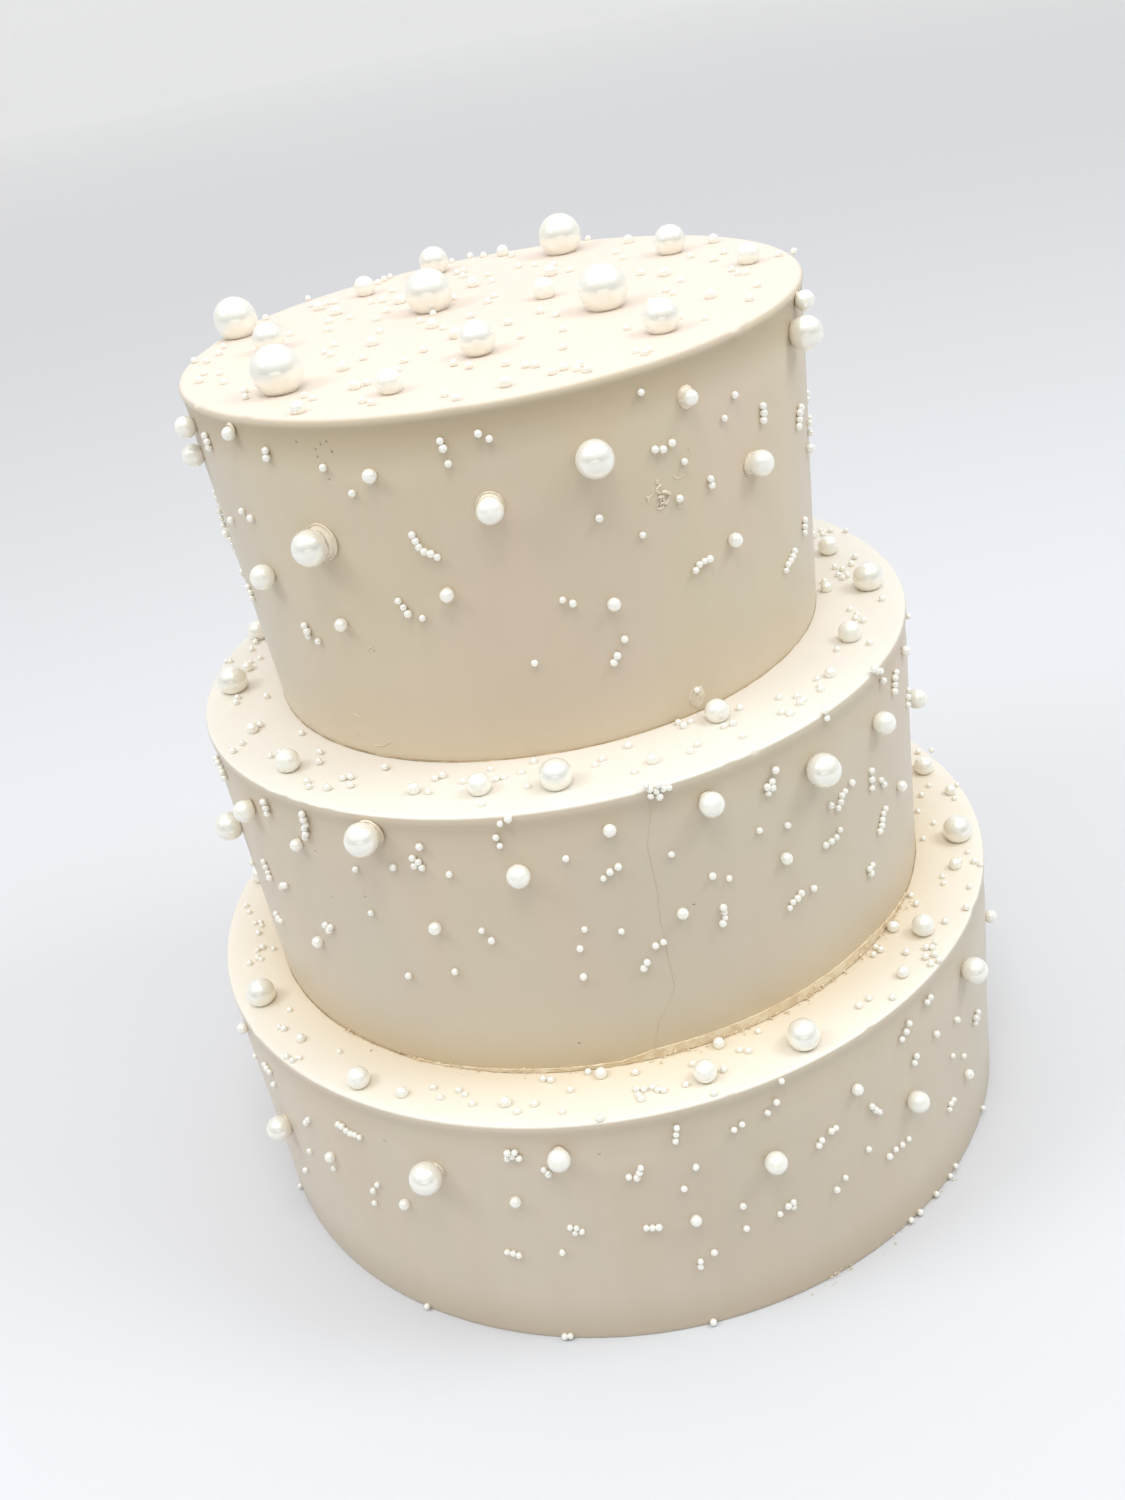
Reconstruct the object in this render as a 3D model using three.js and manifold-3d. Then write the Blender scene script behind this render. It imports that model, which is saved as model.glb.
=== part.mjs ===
// A wedding cake of three round tiers in pale ganache, set with pearly sugar balls.
// Millimetres, +Z up. The origin is the centre of the cake's foot. The front faces -Y,
// and +X is to the right. Every tier and every sugar pearl of 8 mm or more is a mesh of
// its own. Smaller pearls are part of the tier that they sit on.

import * as THREE from "three";
import { mergeVertices } from "three/addons/utils/BufferGeometryUtils.js";
import Module from "manifold-3d";

const wasm = await Module();
wasm.setup();

// The tiers, from the foot up: radius at the foot and at the rim, height, and how far the
// tier's axis stands off the cake's axis, to the right and to the back
const TIERS = [
  { name: "bottom", footRadius: 130, rimRadius: 130.8, height: 87.3, right: 0, back: 0 },
  { name: "middle", footRadius: 110.5, rimRadius: 112.3, height: 89, right: -1, back: 2.1 },
  { name: "top", footRadius: 86.6, rimRadius: 91.6, height: 101, right: -1.7, back: 5.5 },
];
const RIM_ROUND = 2.4;
const RIM_STEPS = 2;
const TIER_SIDES = 56;
const TOUCH_GAP = 0.3;

// A pearl sinks into the icing by this share of its diameter, and by this much at least
const SUNK_SHARE = 0.1;
const SUNK_LEAST = 0.6;
// Pearls this large are pieces of their own
const OWN_PIECE_DIAMETER = 7.9;
// Pearls of a size class have the same number of faces
const MEDIUM_DIAMETER = 5;
const SMALL_DIAMETER = 2.6;
const TINY_DIAMETER = 2.1;
// The least room between two pearls, and between a pearl and the next tier's foot
const PEARL_ROOM = 0.5;
const FOOT_ROOM = 0.5;
// Pearls of the near side, up to this angle, are repeated on the far side
const NEAR_SIDE = 80;

// The decorator's plan of the pearls of 3 mm and more. A row is one pearl: its angle round
// the cake in degrees, 0 at the front and growing to the right, then its distance from the
// tier's axis on a ledge, or its height over the tier's foot on a side, then its diameter.
const PEARLS = {
  top: {
    ledge: [
      [-114, 85, 13.1], [-52, 73, 13.6], [-139, 25, 13.6], [158, 75, 13.6], [58, 39, 13.3],
      [-95, 65, 9.2], [-169, 77, 9.4], [-5, 45, 9.7], [37, 73, 9.4], [121, 70, 9.4],
      [-148, 72, 6.6], [-22, 73, 6.7], [91, 78, 6.6], [110, 19, 6.6], [149, 42, 4.1],
      [174, 84, 4.1], [-36, 87, 3.8], [-145, 46, 3.6], [-176, 42, 3.6], [-24, 24, 3.6],
      [-134, 74, 3.5], [-130, 61, 3.3], [1, 82, 3.2], [-74, 17, 3.3], [142, 81, 3.3],
      [118, 84, 3.3], [96, 54, 3.2], [-50, 54, 3.1], [-70, 36, 3.1], [-33, 68, 3.1],
      [62, 69, 3],
    ],
    side: [
      [-37, 67, 9.5], [12, 82, 9.5], [62, 90, 9.2], [-72, 84, 6.3], [-5, 74, 6.8],
      [-54, 54, 6.8], [44, 64, 6.8], [-70, 93, 6], [66, 97, 5.4], [30, 89, 4],
      [37, 46, 3.9], [-15, 52, 3.8], [-23, 86, 3.7], [-51, 96, 3.6], [-37, 43, 3.6],
      [12, 41, 3.6], [70, 53, 3], [-77, 57, 2.8],
    ],
  },
  middle: {
    ledge: [
      [-89, 103, 9.2], [-3, 101, 8.7], [82, 102, 9.1], [-111, 106, 6.9], [-52, 102, 6.8],
      [27, 91, 6.6], [101, 98, 6.6], [61, 99, 6.5], [-15, 100, 6.3], [-97, 101, 3.6],
      [83, 89, 3.6], [-70, 100, 3.5], [-26, 100, 3.5], [12, 100, 3.3], [48, 102, 3.3],
    ],
    side: [
      [35, 75, 9.3], [-31, 83, 9.2], [-72, 59, 8.7], [17, 80, 6.7], [51, 73, 6.5],
      [-58, 77, 6.3], [-10, 71, 6.3], [75, 55, 6.1], [-46, 73, 3.6], [-24, 53, 3.6],
      [3, 80, 3.5], [28, 52, 3.5], [-49, 36, 3.4], [59, 42, 3.3], [11, 48, 3.3],
      [66, 81, 3],
    ],
  },
  bottom: {
    ledge: [
      [77, 123, 9.1], [23, 124, 9], [-68, 123, 8.9], [52, 120, 6.7], [98, 123, 6.7],
      [-40, 125, 6.6], [9, 122, 6.5], [-103, 125, 6.2], [69, 122, 3.9], [90, 126, 3.8],
      [51, 111, 3.6], [42, 124, 3.6], [-33, 124, 3.5], [-5, 112, 3.4], [13, 111, 3.4],
      [-18, 122, 3.2], [-55, 122, 3],
    ],
    side: [
      [-29, 67, 9.4], [-61, 50, 8.1], [54, 73, 8], [38, 49, 6.5], [15, 59, 6.4],
      [-11, 77, 6.3], [72, 63, 4.3], [-69, 79, 3.7], [28, 69, 3.4], [-48, 55, 3.4],
      [-35, 49, 3.3], [-18, 59, 3.3], [53, 32, 3.3], [4, 45, 3.3],
    ],
  },
};

// Single tiny pearls, strewn by a seeded draw: how many on each face of a tier, and the band
// that they lie in, as inner and outer radius on a ledge or as lowest and highest on a side
const STREWN = {
  top: { ledge: { count: 5, from: 12, to: 86 }, side: { count: 5, from: 30, to: 94 } },
  middle: { ledge: { count: 5, from: 97, to: 107 }, side: { count: 7, from: 25, to: 84 } },
  bottom: { ledge: { count: 5, from: 117, to: 126 }, side: { count: 7, from: 22, to: 82 } },
};
const DRAW_SEED = 2024;
const STEP_JITTER = 0.7;

const ICING_COLOUR = "#e3d3bb";
const PEARL_COLOUR = "#f6f1e6";

// A repeatable draw between 0 and 1
function makeDraw(seed) {
  let state = seed;
  return () => {
    state = (state * 16807) % 2147483647;
    return state / 2147483647;
  };
}

// Adds to each tier the height of its foot, and the tier that stands on it
function stackTiers() {
  let level = 0;
  TIERS.forEach((tier, index) => {
    tier.foot = index === 0 ? 0 : level + TOUCH_GAP;
    tier.base = level;
    level += tier.height;
    tier.top = level;
    tier.above = TIERS[index + 1];
  });
}

// The icing's radius at a height over the tier's base
function wallRadius(tier, height) {
  const share = height / tier.height;
  return tier.footRadius + (tier.rimRadius - tier.footRadius) * share;
}

function solidOf(geometry) {
  const bare = geometry.clone();
  bare.deleteAttribute("normal");
  bare.deleteAttribute("uv");
  const merged = mergeVertices(bare, 1e-4);
  const index = merged.index.array;
  const kept = [];
  for (let i = 0; i < index.length; i += 3) {
    const [a, b, c] = [index[i], index[i + 1], index[i + 2]];
    if (a !== b && b !== c && c !== a) kept.push(a, b, c);
  }
  return new wasm.Manifold(
    new wasm.Mesh({
      numProp: 3,
      vertProperties: merged.attributes.position.array,
      triVerts: new Uint32Array(kept),
    }),
  );
}

function geometryOf(solid) {
  const mesh = solid.getMesh();
  const geometry = new THREE.BufferGeometry();
  geometry.setAttribute("position", new THREE.BufferAttribute(mesh.vertProperties, 3));
  geometry.setIndex(new THREE.BufferAttribute(mesh.triVerts, 1));
  geometry.computeVertexNormals();
  return geometry;
}

// A tier before its pearls: straight wall, rounded rim, flat top and foot
function tierBlank(tier) {
  const foot = tier.foot - tier.base;
  const profile = [new THREE.Vector2(0, foot), new THREE.Vector2(wallRadius(tier, foot), foot)];
  for (let step = 0; step <= RIM_STEPS; step += 1) {
    const turn = (step / RIM_STEPS) * (Math.PI / 2);
    profile.push(
      new THREE.Vector2(
        tier.rimRadius - RIM_ROUND * (1 - Math.cos(turn)),
        tier.height - RIM_ROUND * (1 - Math.sin(turn)),
      ),
    );
  }
  profile.push(new THREE.Vector2(0, tier.height));
  const blank = new THREE.LatheGeometry(profile, TIER_SIDES);
  blank.rotateX(Math.PI / 2);
  blank.translate(tier.right, tier.back, tier.base);
  return solidOf(blank);
}

// The centre of a pearl that sits on a tier's ledge or side
function pearlCentre(tier, face, [angle, place, diameter]) {
  const lift = diameter / 2 - Math.max(diameter * SUNK_SHARE, SUNK_LEAST);
  const reach = face === "ledge" ? place : wallRadius(tier, place) + lift;
  const height = face === "ledge" ? tier.top + lift : tier.base + place;
  const turn = THREE.MathUtils.degToRad(angle);
  return new THREE.Vector3(
    tier.right + reach * Math.sin(turn),
    tier.back - reach * Math.cos(turn),
    height,
  );
}

// Whether a pearl has room beside the pearls already placed and the next tier's foot
function hasRoom(tier, pearl, placed) {
  const beside = placed.every(
    (other) =>
      other.centre.distanceTo(pearl.centre) >
      (other.diameter + pearl.diameter) / 2 + PEARL_ROOM,
  );
  if (!tier.above || pearl.face !== "ledge") return beside;
  const fromAxis = Math.hypot(
    pearl.centre.x - tier.above.right,
    pearl.centre.y - tier.above.back,
  );
  return beside && fromAxis - pearl.diameter / 2 > tier.above.footRadius + FOOT_ROOM;
}

function makePearl(tier, face, row) {
  return { face, diameter: row[2], centre: pearlCentre(tier, face, row) };
}

// The planned pearls of a tier, with the near side's repeated half round the cake
function plannedPearls(tier) {
  const placed = [];
  for (const face of ["ledge", "side"]) {
    for (const row of PEARLS[tier.name][face]) placed.push(makePearl(tier, face, row));
  }
  for (const face of ["side", "ledge"]) {
    if (face === "ledge" && !tier.above) continue;
    for (const [angle, place, diameter] of PEARLS[tier.name][face]) {
      if (Math.abs(angle) > NEAR_SIDE) continue;
      const pearl = makePearl(tier, face, [angle + 180, place, diameter]);
      if (hasRoom(tier, pearl, placed)) placed.push(pearl);
    }
  }
  return placed;
}

// Tiny single pearls, one in each equal step round the cake, where there is room
function strewPearls(tier, face, placed, draw) {
  const { count, from, to } = STREWN[tier.name][face];
  const step = 360 / count;
  for (let index = 0; index < count; index += 1) {
    const angle = (index + 0.5 + STEP_JITTER * (draw() - 0.5)) * step;
    const place = from + (to - from) * Math.sqrt(draw());
    const pearl = makePearl(tier, face, [angle, place, TINY_DIAMETER]);
    if (hasRoom(tier, pearl, placed)) placed.push(pearl);
  }
}

// A pearl's ball, with more faces the larger it is
function ballGeometry(diameter) {
  const radius = diameter / 2;
  if (diameter >= OWN_PIECE_DIAMETER) return new THREE.IcosahedronGeometry(radius, 1);
  if (diameter >= MEDIUM_DIAMETER) return new THREE.SphereGeometry(radius, 8, 4);
  if (diameter >= SMALL_DIAMETER) return new THREE.SphereGeometry(radius, 6, 3);
  return new THREE.IcosahedronGeometry(radius, 0);
}

// The ball's pole points out of the face that it sits on
function ballAt(pearl, tier, grown) {
  const geometry = ballGeometry(pearl.diameter);
  const size = (pearl.diameter / 2 + grown) / (pearl.diameter / 2);
  geometry.scale(size, size, size);
  const out = new THREE.Vector3(0, 0, 1);
  if (pearl.face === "side") {
    out.set(pearl.centre.x - tier.right, pearl.centre.y - tier.back, 0).normalize();
  }
  const turn = new THREE.Quaternion().setFromUnitVectors(new THREE.Vector3(0, 1, 0), out);
  geometry.applyQuaternion(turn);
  geometry.translate(pearl.centre.x, pearl.centre.y, pearl.centre.z);
  return geometry;
}

function namedMesh(name, geometry, colour, roughness) {
  const material = new THREE.MeshStandardMaterial({ color: colour, roughness, metalness: 0 });
  const mesh = new THREE.Mesh(geometry, material);
  mesh.name = name;
  return mesh;
}

// A tier with its small pearls joined on and a socket under each pearl that is a piece
function buildTier(tier, draw) {
  const group = new THREE.Group();
  const placed = plannedPearls(tier);
  strewPearls(tier, "ledge", placed, draw);
  strewPearls(tier, "side", placed, draw);
  let body = tierBlank(tier);
  for (const pearl of placed) {
    if (pearl.diameter < OWN_PIECE_DIAMETER) body = body.add(solidOf(ballAt(pearl, tier, 0)));
  }
  let number = 0;
  for (const pearl of placed) {
    if (pearl.diameter < OWN_PIECE_DIAMETER) continue;
    number += 1;
    body = body.subtract(solidOf(ballAt(pearl, tier, TOUCH_GAP)));
    const name = `pearl_${tier.name}_${number}`;
    group.add(namedMesh(name, ballAt(pearl, tier, 0), PEARL_COLOUR, 0.3));
  }
  group.add(namedMesh(`tier_${tier.name}`, geometryOf(body), ICING_COLOUR, 0.65));
  return group;
}

stackTiers();
const draw = makeDraw(DRAW_SEED);
const cake = new THREE.Group();
for (const tier of TIERS) cake.add(buildTier(tier, draw));

export default cake;
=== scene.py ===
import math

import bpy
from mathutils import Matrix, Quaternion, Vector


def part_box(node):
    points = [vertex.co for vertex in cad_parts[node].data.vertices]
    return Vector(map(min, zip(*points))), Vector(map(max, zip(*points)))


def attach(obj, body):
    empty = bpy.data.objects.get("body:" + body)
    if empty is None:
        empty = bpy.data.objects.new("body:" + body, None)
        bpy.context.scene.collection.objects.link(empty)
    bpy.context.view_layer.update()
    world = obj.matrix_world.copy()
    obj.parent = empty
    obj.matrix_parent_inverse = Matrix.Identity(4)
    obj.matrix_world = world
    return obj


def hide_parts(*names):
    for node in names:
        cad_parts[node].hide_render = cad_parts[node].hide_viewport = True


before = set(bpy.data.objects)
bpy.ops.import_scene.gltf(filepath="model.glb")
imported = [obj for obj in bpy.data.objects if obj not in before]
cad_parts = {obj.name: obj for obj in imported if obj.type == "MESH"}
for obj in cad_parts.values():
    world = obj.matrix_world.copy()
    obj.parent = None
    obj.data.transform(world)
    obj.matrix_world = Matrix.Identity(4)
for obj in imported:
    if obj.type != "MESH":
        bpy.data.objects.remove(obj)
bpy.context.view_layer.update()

# A wedding cake of three round tiers in pale ganache, set with pearly sugar balls.
# Blender works in metres. Sizes that a decorator would measure are in millimetres, and
# MM turns them into metres. The front faces -Y, +X is to the right and +Z is up.

MM = 0.001

# Camera
CAMERA_PLACE = (0, -444.1, 375.3)
CAMERA_YAW = -0.54
CAMERA_DOWN = 28.64
CAMERA_ROLL = -10.9
SENSOR = 36
LENS = 36.21

# Tiers, from the foot up: radius at the foot and at the rim, height, and how far the
# tier's axis stands off the cake's axis, to the right and to the back
TIERS = [
    {"name": "bottom", "foot_radius": 130, "rim_radius": 130.8, "height": 87.3, "right": 0, "back": 0},
    {"name": "middle", "foot_radius": 110.5, "rim_radius": 112.3, "height": 89, "right": -1, "back": 2.1},
    {"name": "top", "foot_radius": 86.6, "rim_radius": 91.6, "height": 101, "right": -1.7, "back": 5.5},
]
RIM_ROUNDS = {"bottom": 1.2, "middle": 1.1, "top": 1.6}
RIM_STEPS = 6
FOOT_ROUND = 0.5
ICING_SIDES = 600
WALL_RINGS = 50
LEDGE_STEP = 3
COVERED_STEP = 12
COVERED_MARGIN = 4
INNERMOST_RING = 16
LEVEL_ENOUGH = 0.9
STILL_FOOT = 1
HAIR = 0.01 * MM
UP = Vector((0, 0, 1))

# Unevenness of the coats: name, size and depth
ICING_RELIEF = [("sway_", 70, 0.7), ("wave_", 16, 0.14)]

# Up to which angle between faces a surface is smooth
SMOOTH = {"icing": math.radians(50), "band": math.radians(60), "collar": math.radians(40)}

# How deep pearls sink, and the room that they keep
PEARL_SWELL = 1.05
SUNK_SHARE = 0.1
SUNK_LEAST = 0.6
TINY_DIAMETER = 2.1
TINY_RAISED = 0.2
TINY_STANDS = TINY_DIAMETER / 2 - SUNK_LEAST + TINY_RAISED
SIGHT_ROUNDS = 4
PEARL_ROOM = 0.5
FOOT_ROOM = 0.5
NEAR_SIDE = 80
DRAW_SEED = 2024
STEP_JITTER = 0.7

# The decorator's plan of the pearls that belong to their tier. A row is one pearl: its
# angle round the cake in degrees, 0 at the front and growing to the right, then its
# distance from the tier's axis on a ledge, or its height on a side, then its diameter.
PEARLS = {
    "top": {
        "ledge": [
            [-148, 72, 6.6], [-22, 73, 6.7], [91, 78, 6.6], [110, 19, 6.6], [149, 42, 4.1],
            [174, 84, 4.1], [-36, 87, 3.8], [-145, 46, 3.6], [-176, 42, 3.6], [-24, 24, 3.6],
            [-134, 74, 3.5], [-130, 61, 3.3], [1, 82, 3.2], [-74, 17, 3.3], [142, 81, 3.3],
            [118, 84, 3.3], [96, 54, 3.2], [-50, 54, 3.1], [-70, 36, 3.1], [-33, 68, 3.1], [62, 69, 3],
        ],
        "side": [
            [-72, 84, 6.3], [-5, 74, 6.8], [-54, 54, 6.8], [44, 64, 6.8], [-70, 93, 6], [66, 97, 5.4],
            [30, 89, 4], [37, 46, 3.9], [-15, 52, 3.8], [-23, 86, 3.7], [-51, 96, 3.6], [-37, 43, 3.6],
            [12, 41, 3.6], [70, 53, 3], [-77, 57, 2.8],
        ],
    },
    "middle": {
        "ledge": [
            [-111, 106, 6.9], [-52, 102, 6.8], [27, 91, 6.6], [101, 98, 6.6], [61, 99, 6.5],
            [-15, 100, 6.3], [-97, 101, 3.6], [83, 89, 3.6], [-70, 100, 3.5], [-26, 100, 3.5],
            [12, 100, 3.3], [48, 102, 3.3],
        ],
        "side": [
            [17, 80, 6.7], [51, 73, 6.5], [-58, 77, 6.3], [-10, 71, 6.3], [75, 55, 6.1], [-46, 73, 3.6],
            [-24, 53, 3.6], [3, 80, 3.5], [28, 52, 3.5], [-49, 36, 3.4], [59, 42, 3.3], [11, 48, 3.3],
            [66, 81, 3],
        ],
    },
    "bottom": {
        "ledge": [
            [52, 120, 6.7], [98, 123, 6.7], [-40, 125, 6.6], [9, 122, 6.5], [-103, 125, 6.2],
            [69, 122, 3.9], [90, 126, 3.8], [51, 111, 3.6], [42, 124, 3.6], [-33, 124, 3.5],
            [-5, 112, 3.4], [13, 111, 3.4], [-18, 122, 3.2], [-55, 122, 3],
        ],
        "side": [
            [38, 49, 6.5], [15, 59, 6.4], [-11, 77, 6.3], [72, 63, 4.3], [-69, 79, 3.7], [28, 69, 3.4],
            [-48, 55, 3.4], [-35, 49, 3.3], [-18, 59, 3.3], [53, 32, 3.3], [4, 45, 3.3],
        ],
    },
}

# Single tiny pearls, strewn by a seeded draw: how many, and in which band of each face
STREWN = {
    "top": {"ledge": (5, 12, 86), "side": (5, 30, 94)},
    "middle": {"ledge": (5, 97, 107), "side": (7, 25, 84)},
    "bottom": {"ledge": (5, 117, 126), "side": (7, 22, 82)},
}

# Enlarged crops of the photograph in which tiny pearls and marks were found: the
# pixels at the crop's left and upper edge, and how much it is enlarged
PHOTO_WIDE = 1125
PHOTO_HIGH = 1500
CROPS = {
    "top face left": (170, 225, 4.5),
    "top face right": (480, 225, 4.5),
    "middle ledge left": (200, 620, 5),
    "middle ledge front": (300, 560, 3.125),
    "middle ledge right": (560, 560, 3.125),
    "middle ledge back": (800, 510, 5),
    "bottom ledge left": (225, 860, 4.5),
    "bottom ledge front": (440, 860, 3.125),
    "bottom ledge right": (840, 740, 4.5),
    "top wall left": (150, 380, 4.238),
    "top wall right": (480, 380, 4.126),
    "middle wall left": (180, 640, 4.126),
    "middle wall right": (540, 640, 3.733),
    "bottom wall left": (200, 880, 4.356),
    "bottom wall right": (540, 900, 3.336),
    "bottom foot left": (180, 1100, 3.733),
    "bottom foot right": (580, 1100, 3.015),
    "torn spot": (630, 380, 7),
    "top wall foot": (300, 560, 3.125),
    "whole photograph": (0, 0, 1),
}

# Strings of tiny pearls on the sides, as found in a crop: a single pearl, or the first and
# the last pearl and how many
STRINGS_SEEN = {
    "top": {
        "top wall left": [
            (230, 235, 244, 267, 3), (488, 300, 500, 330, 2), (733, 372), (1228, 260, 1224, 292, 2),
            (1390, 228, 1440, 243, 2), (342, 593), (388, 556, 420, 565, 2), (414, 877, 434, 925, 3),
            (285, 560, 312, 657, 4), (1109, 657, 1219, 731, 6), (1051, 938, 1083, 996, 3), (1154, 1010),
            (653, 1041, 673, 1090, 3), (711, 1108),
        ],
        "top wall right": [
            (1168, 107, 1166, 168, 3), (1324, 113, 1315, 195, 4), (1361, 178, 1363, 222, 2),
            (792, 260, 768, 303, 2), (952, 408, 945, 437, 2), (492, 570, 498, 593, 2),
            (890, 786, 945, 752, 4), (1341, 577, 1338, 625, 3), (1298, 706, 1272, 795, 5),
            (341, 909, 386, 911, 2), (566, 1138, 557, 1167, 2), (1052, 62), (1010, 158), (823, 489),
            (672, 641), (665, 52), (895, 1280),
        ],
    },
    "middle": {
        "middle wall left": [
            (148, 489, 180, 566, 5), (343, 669, 357, 716, 3), (502, 719, 508, 783, 6), (987, 854),
            (1320, 760, 1356, 742, 2), (1303, 816, 1311, 852, 2), (343, 914, 368, 970, 4),
            (419, 1020, 443, 1028, 3), (396, 1129, 416, 1158, 3), (1245, 1201, 1287, 1239, 2),
            (787, 1127), (1110, 968), (723, 947),
        ],
        "middle wall right": [
            (879, 486), (1165, 533, 1115, 624, 6), (1121, 709, 1071, 783, 4), (1238, 488, 1243, 550, 3),
            (1275, 523, 1288, 523, 2), (1291, 630, 1262, 709, 5), (975, 945, 955, 985, 4), (1022, 927),
            (644, 881, 695, 910, 2), (684, 999, 680, 1053, 4), (431, 1142, 462, 1130, 2),
            (292, 847, 251, 901, 3), (96, 817), (491, 802), (166, 1081), (304, 1089), (149, 1153),
            (1246, 109, 1275, 98, 3), (1331, 120, 1323, 196, 4), (1377, 186, 1373, 240, 3),
            (1066, 266, 1062, 299, 2), (1282, 152), (820, 712), (925, 692),
        ],
        "bottom wall left": [(909, 417), (1111, 400)],
        "bottom wall right": [(145, 256), (357, 208, 357, 228, 2)],
    },
    "bottom": {
        "bottom wall left": [(238, 768), (280, 805, 300, 835, 3), (320, 890)],
        "bottom wall right": [
            (1233, 412, 1201, 459, 3), (1304, 325, 1295, 345, 2), (1323, 447), (1391, 399),
            (1257, 521, 1246, 541, 2), (1415, 521, 1371, 555, 2), (1380, 667, 1366, 703, 3), (807, 606),
        ],
        "bottom foot left": [
            (470, 84, 487, 90, 2), (589, 91, 633, 127, 6), (483, 191), (574, 255), (736, 317),
            (726, 385), (1358, 262, 1381, 269, 2), (1222, 569, 1266, 582, 3), (1427, 570),
        ],
        "bottom foot right": [
            (292, 86, 297, 124, 3), (465, 91, 485, 71, 2), (566, 40, 597, 10, 2),
            (183, 206, 178, 235, 3), (147, 233, 200, 233, 2), (350, 203), (314, 268),
            (881, 20, 908, 30, 3), (992, 118, 932, 165, 4), (871, 149), (801, 235, 778, 272, 2),
            (604, 345), (492, 320), (502, 388), (200, 387, 235, 376, 3), (405, 460, 405, 470, 2),
            (364, 488, 353, 503, 2),
        ],
    },
}

# More tiny pearls on the sides: angle and height of the first one, how many, the heading of
# their string, 0 to the right and 90 up, and the step where it isn't close
CLOSE_STEP = 1.8
STRINGS = {
    "top": [[13, 30, 1, 0], [28, 73, 1, 0], [-10, 87, 1, 0], [-3, 29, 1, 0]],
    "middle": [],
    "bottom": [
        [21.5, 56, 2, 80], [23.5, 59, 2, 30], [-72, 1.4, 1, 0], [-37, 1.4, 1, 0], [-16, 1.4, 2, 0],
        [4, 1.4, 1, 0], [36, 1.4, 2, 0, 4.5], [42, 1.4, 1, 0], [46, 1.4, 2, 0, 4], [60, 3, 1, 0],
    ],
}

# Knots of tiny pearls on the sides: angle, height and how many
KNOTS = {
    "top": [],
    "middle": [[-24, 75, 4], [-45, 43, 3], [10, 88, 9], [27, 76, 4], [46, 28, 3]],
    "bottom": [[-11, 48, 4], [-17, 76.5, 5], [17, 39, 3], [58, 46, 4]],
}

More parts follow.
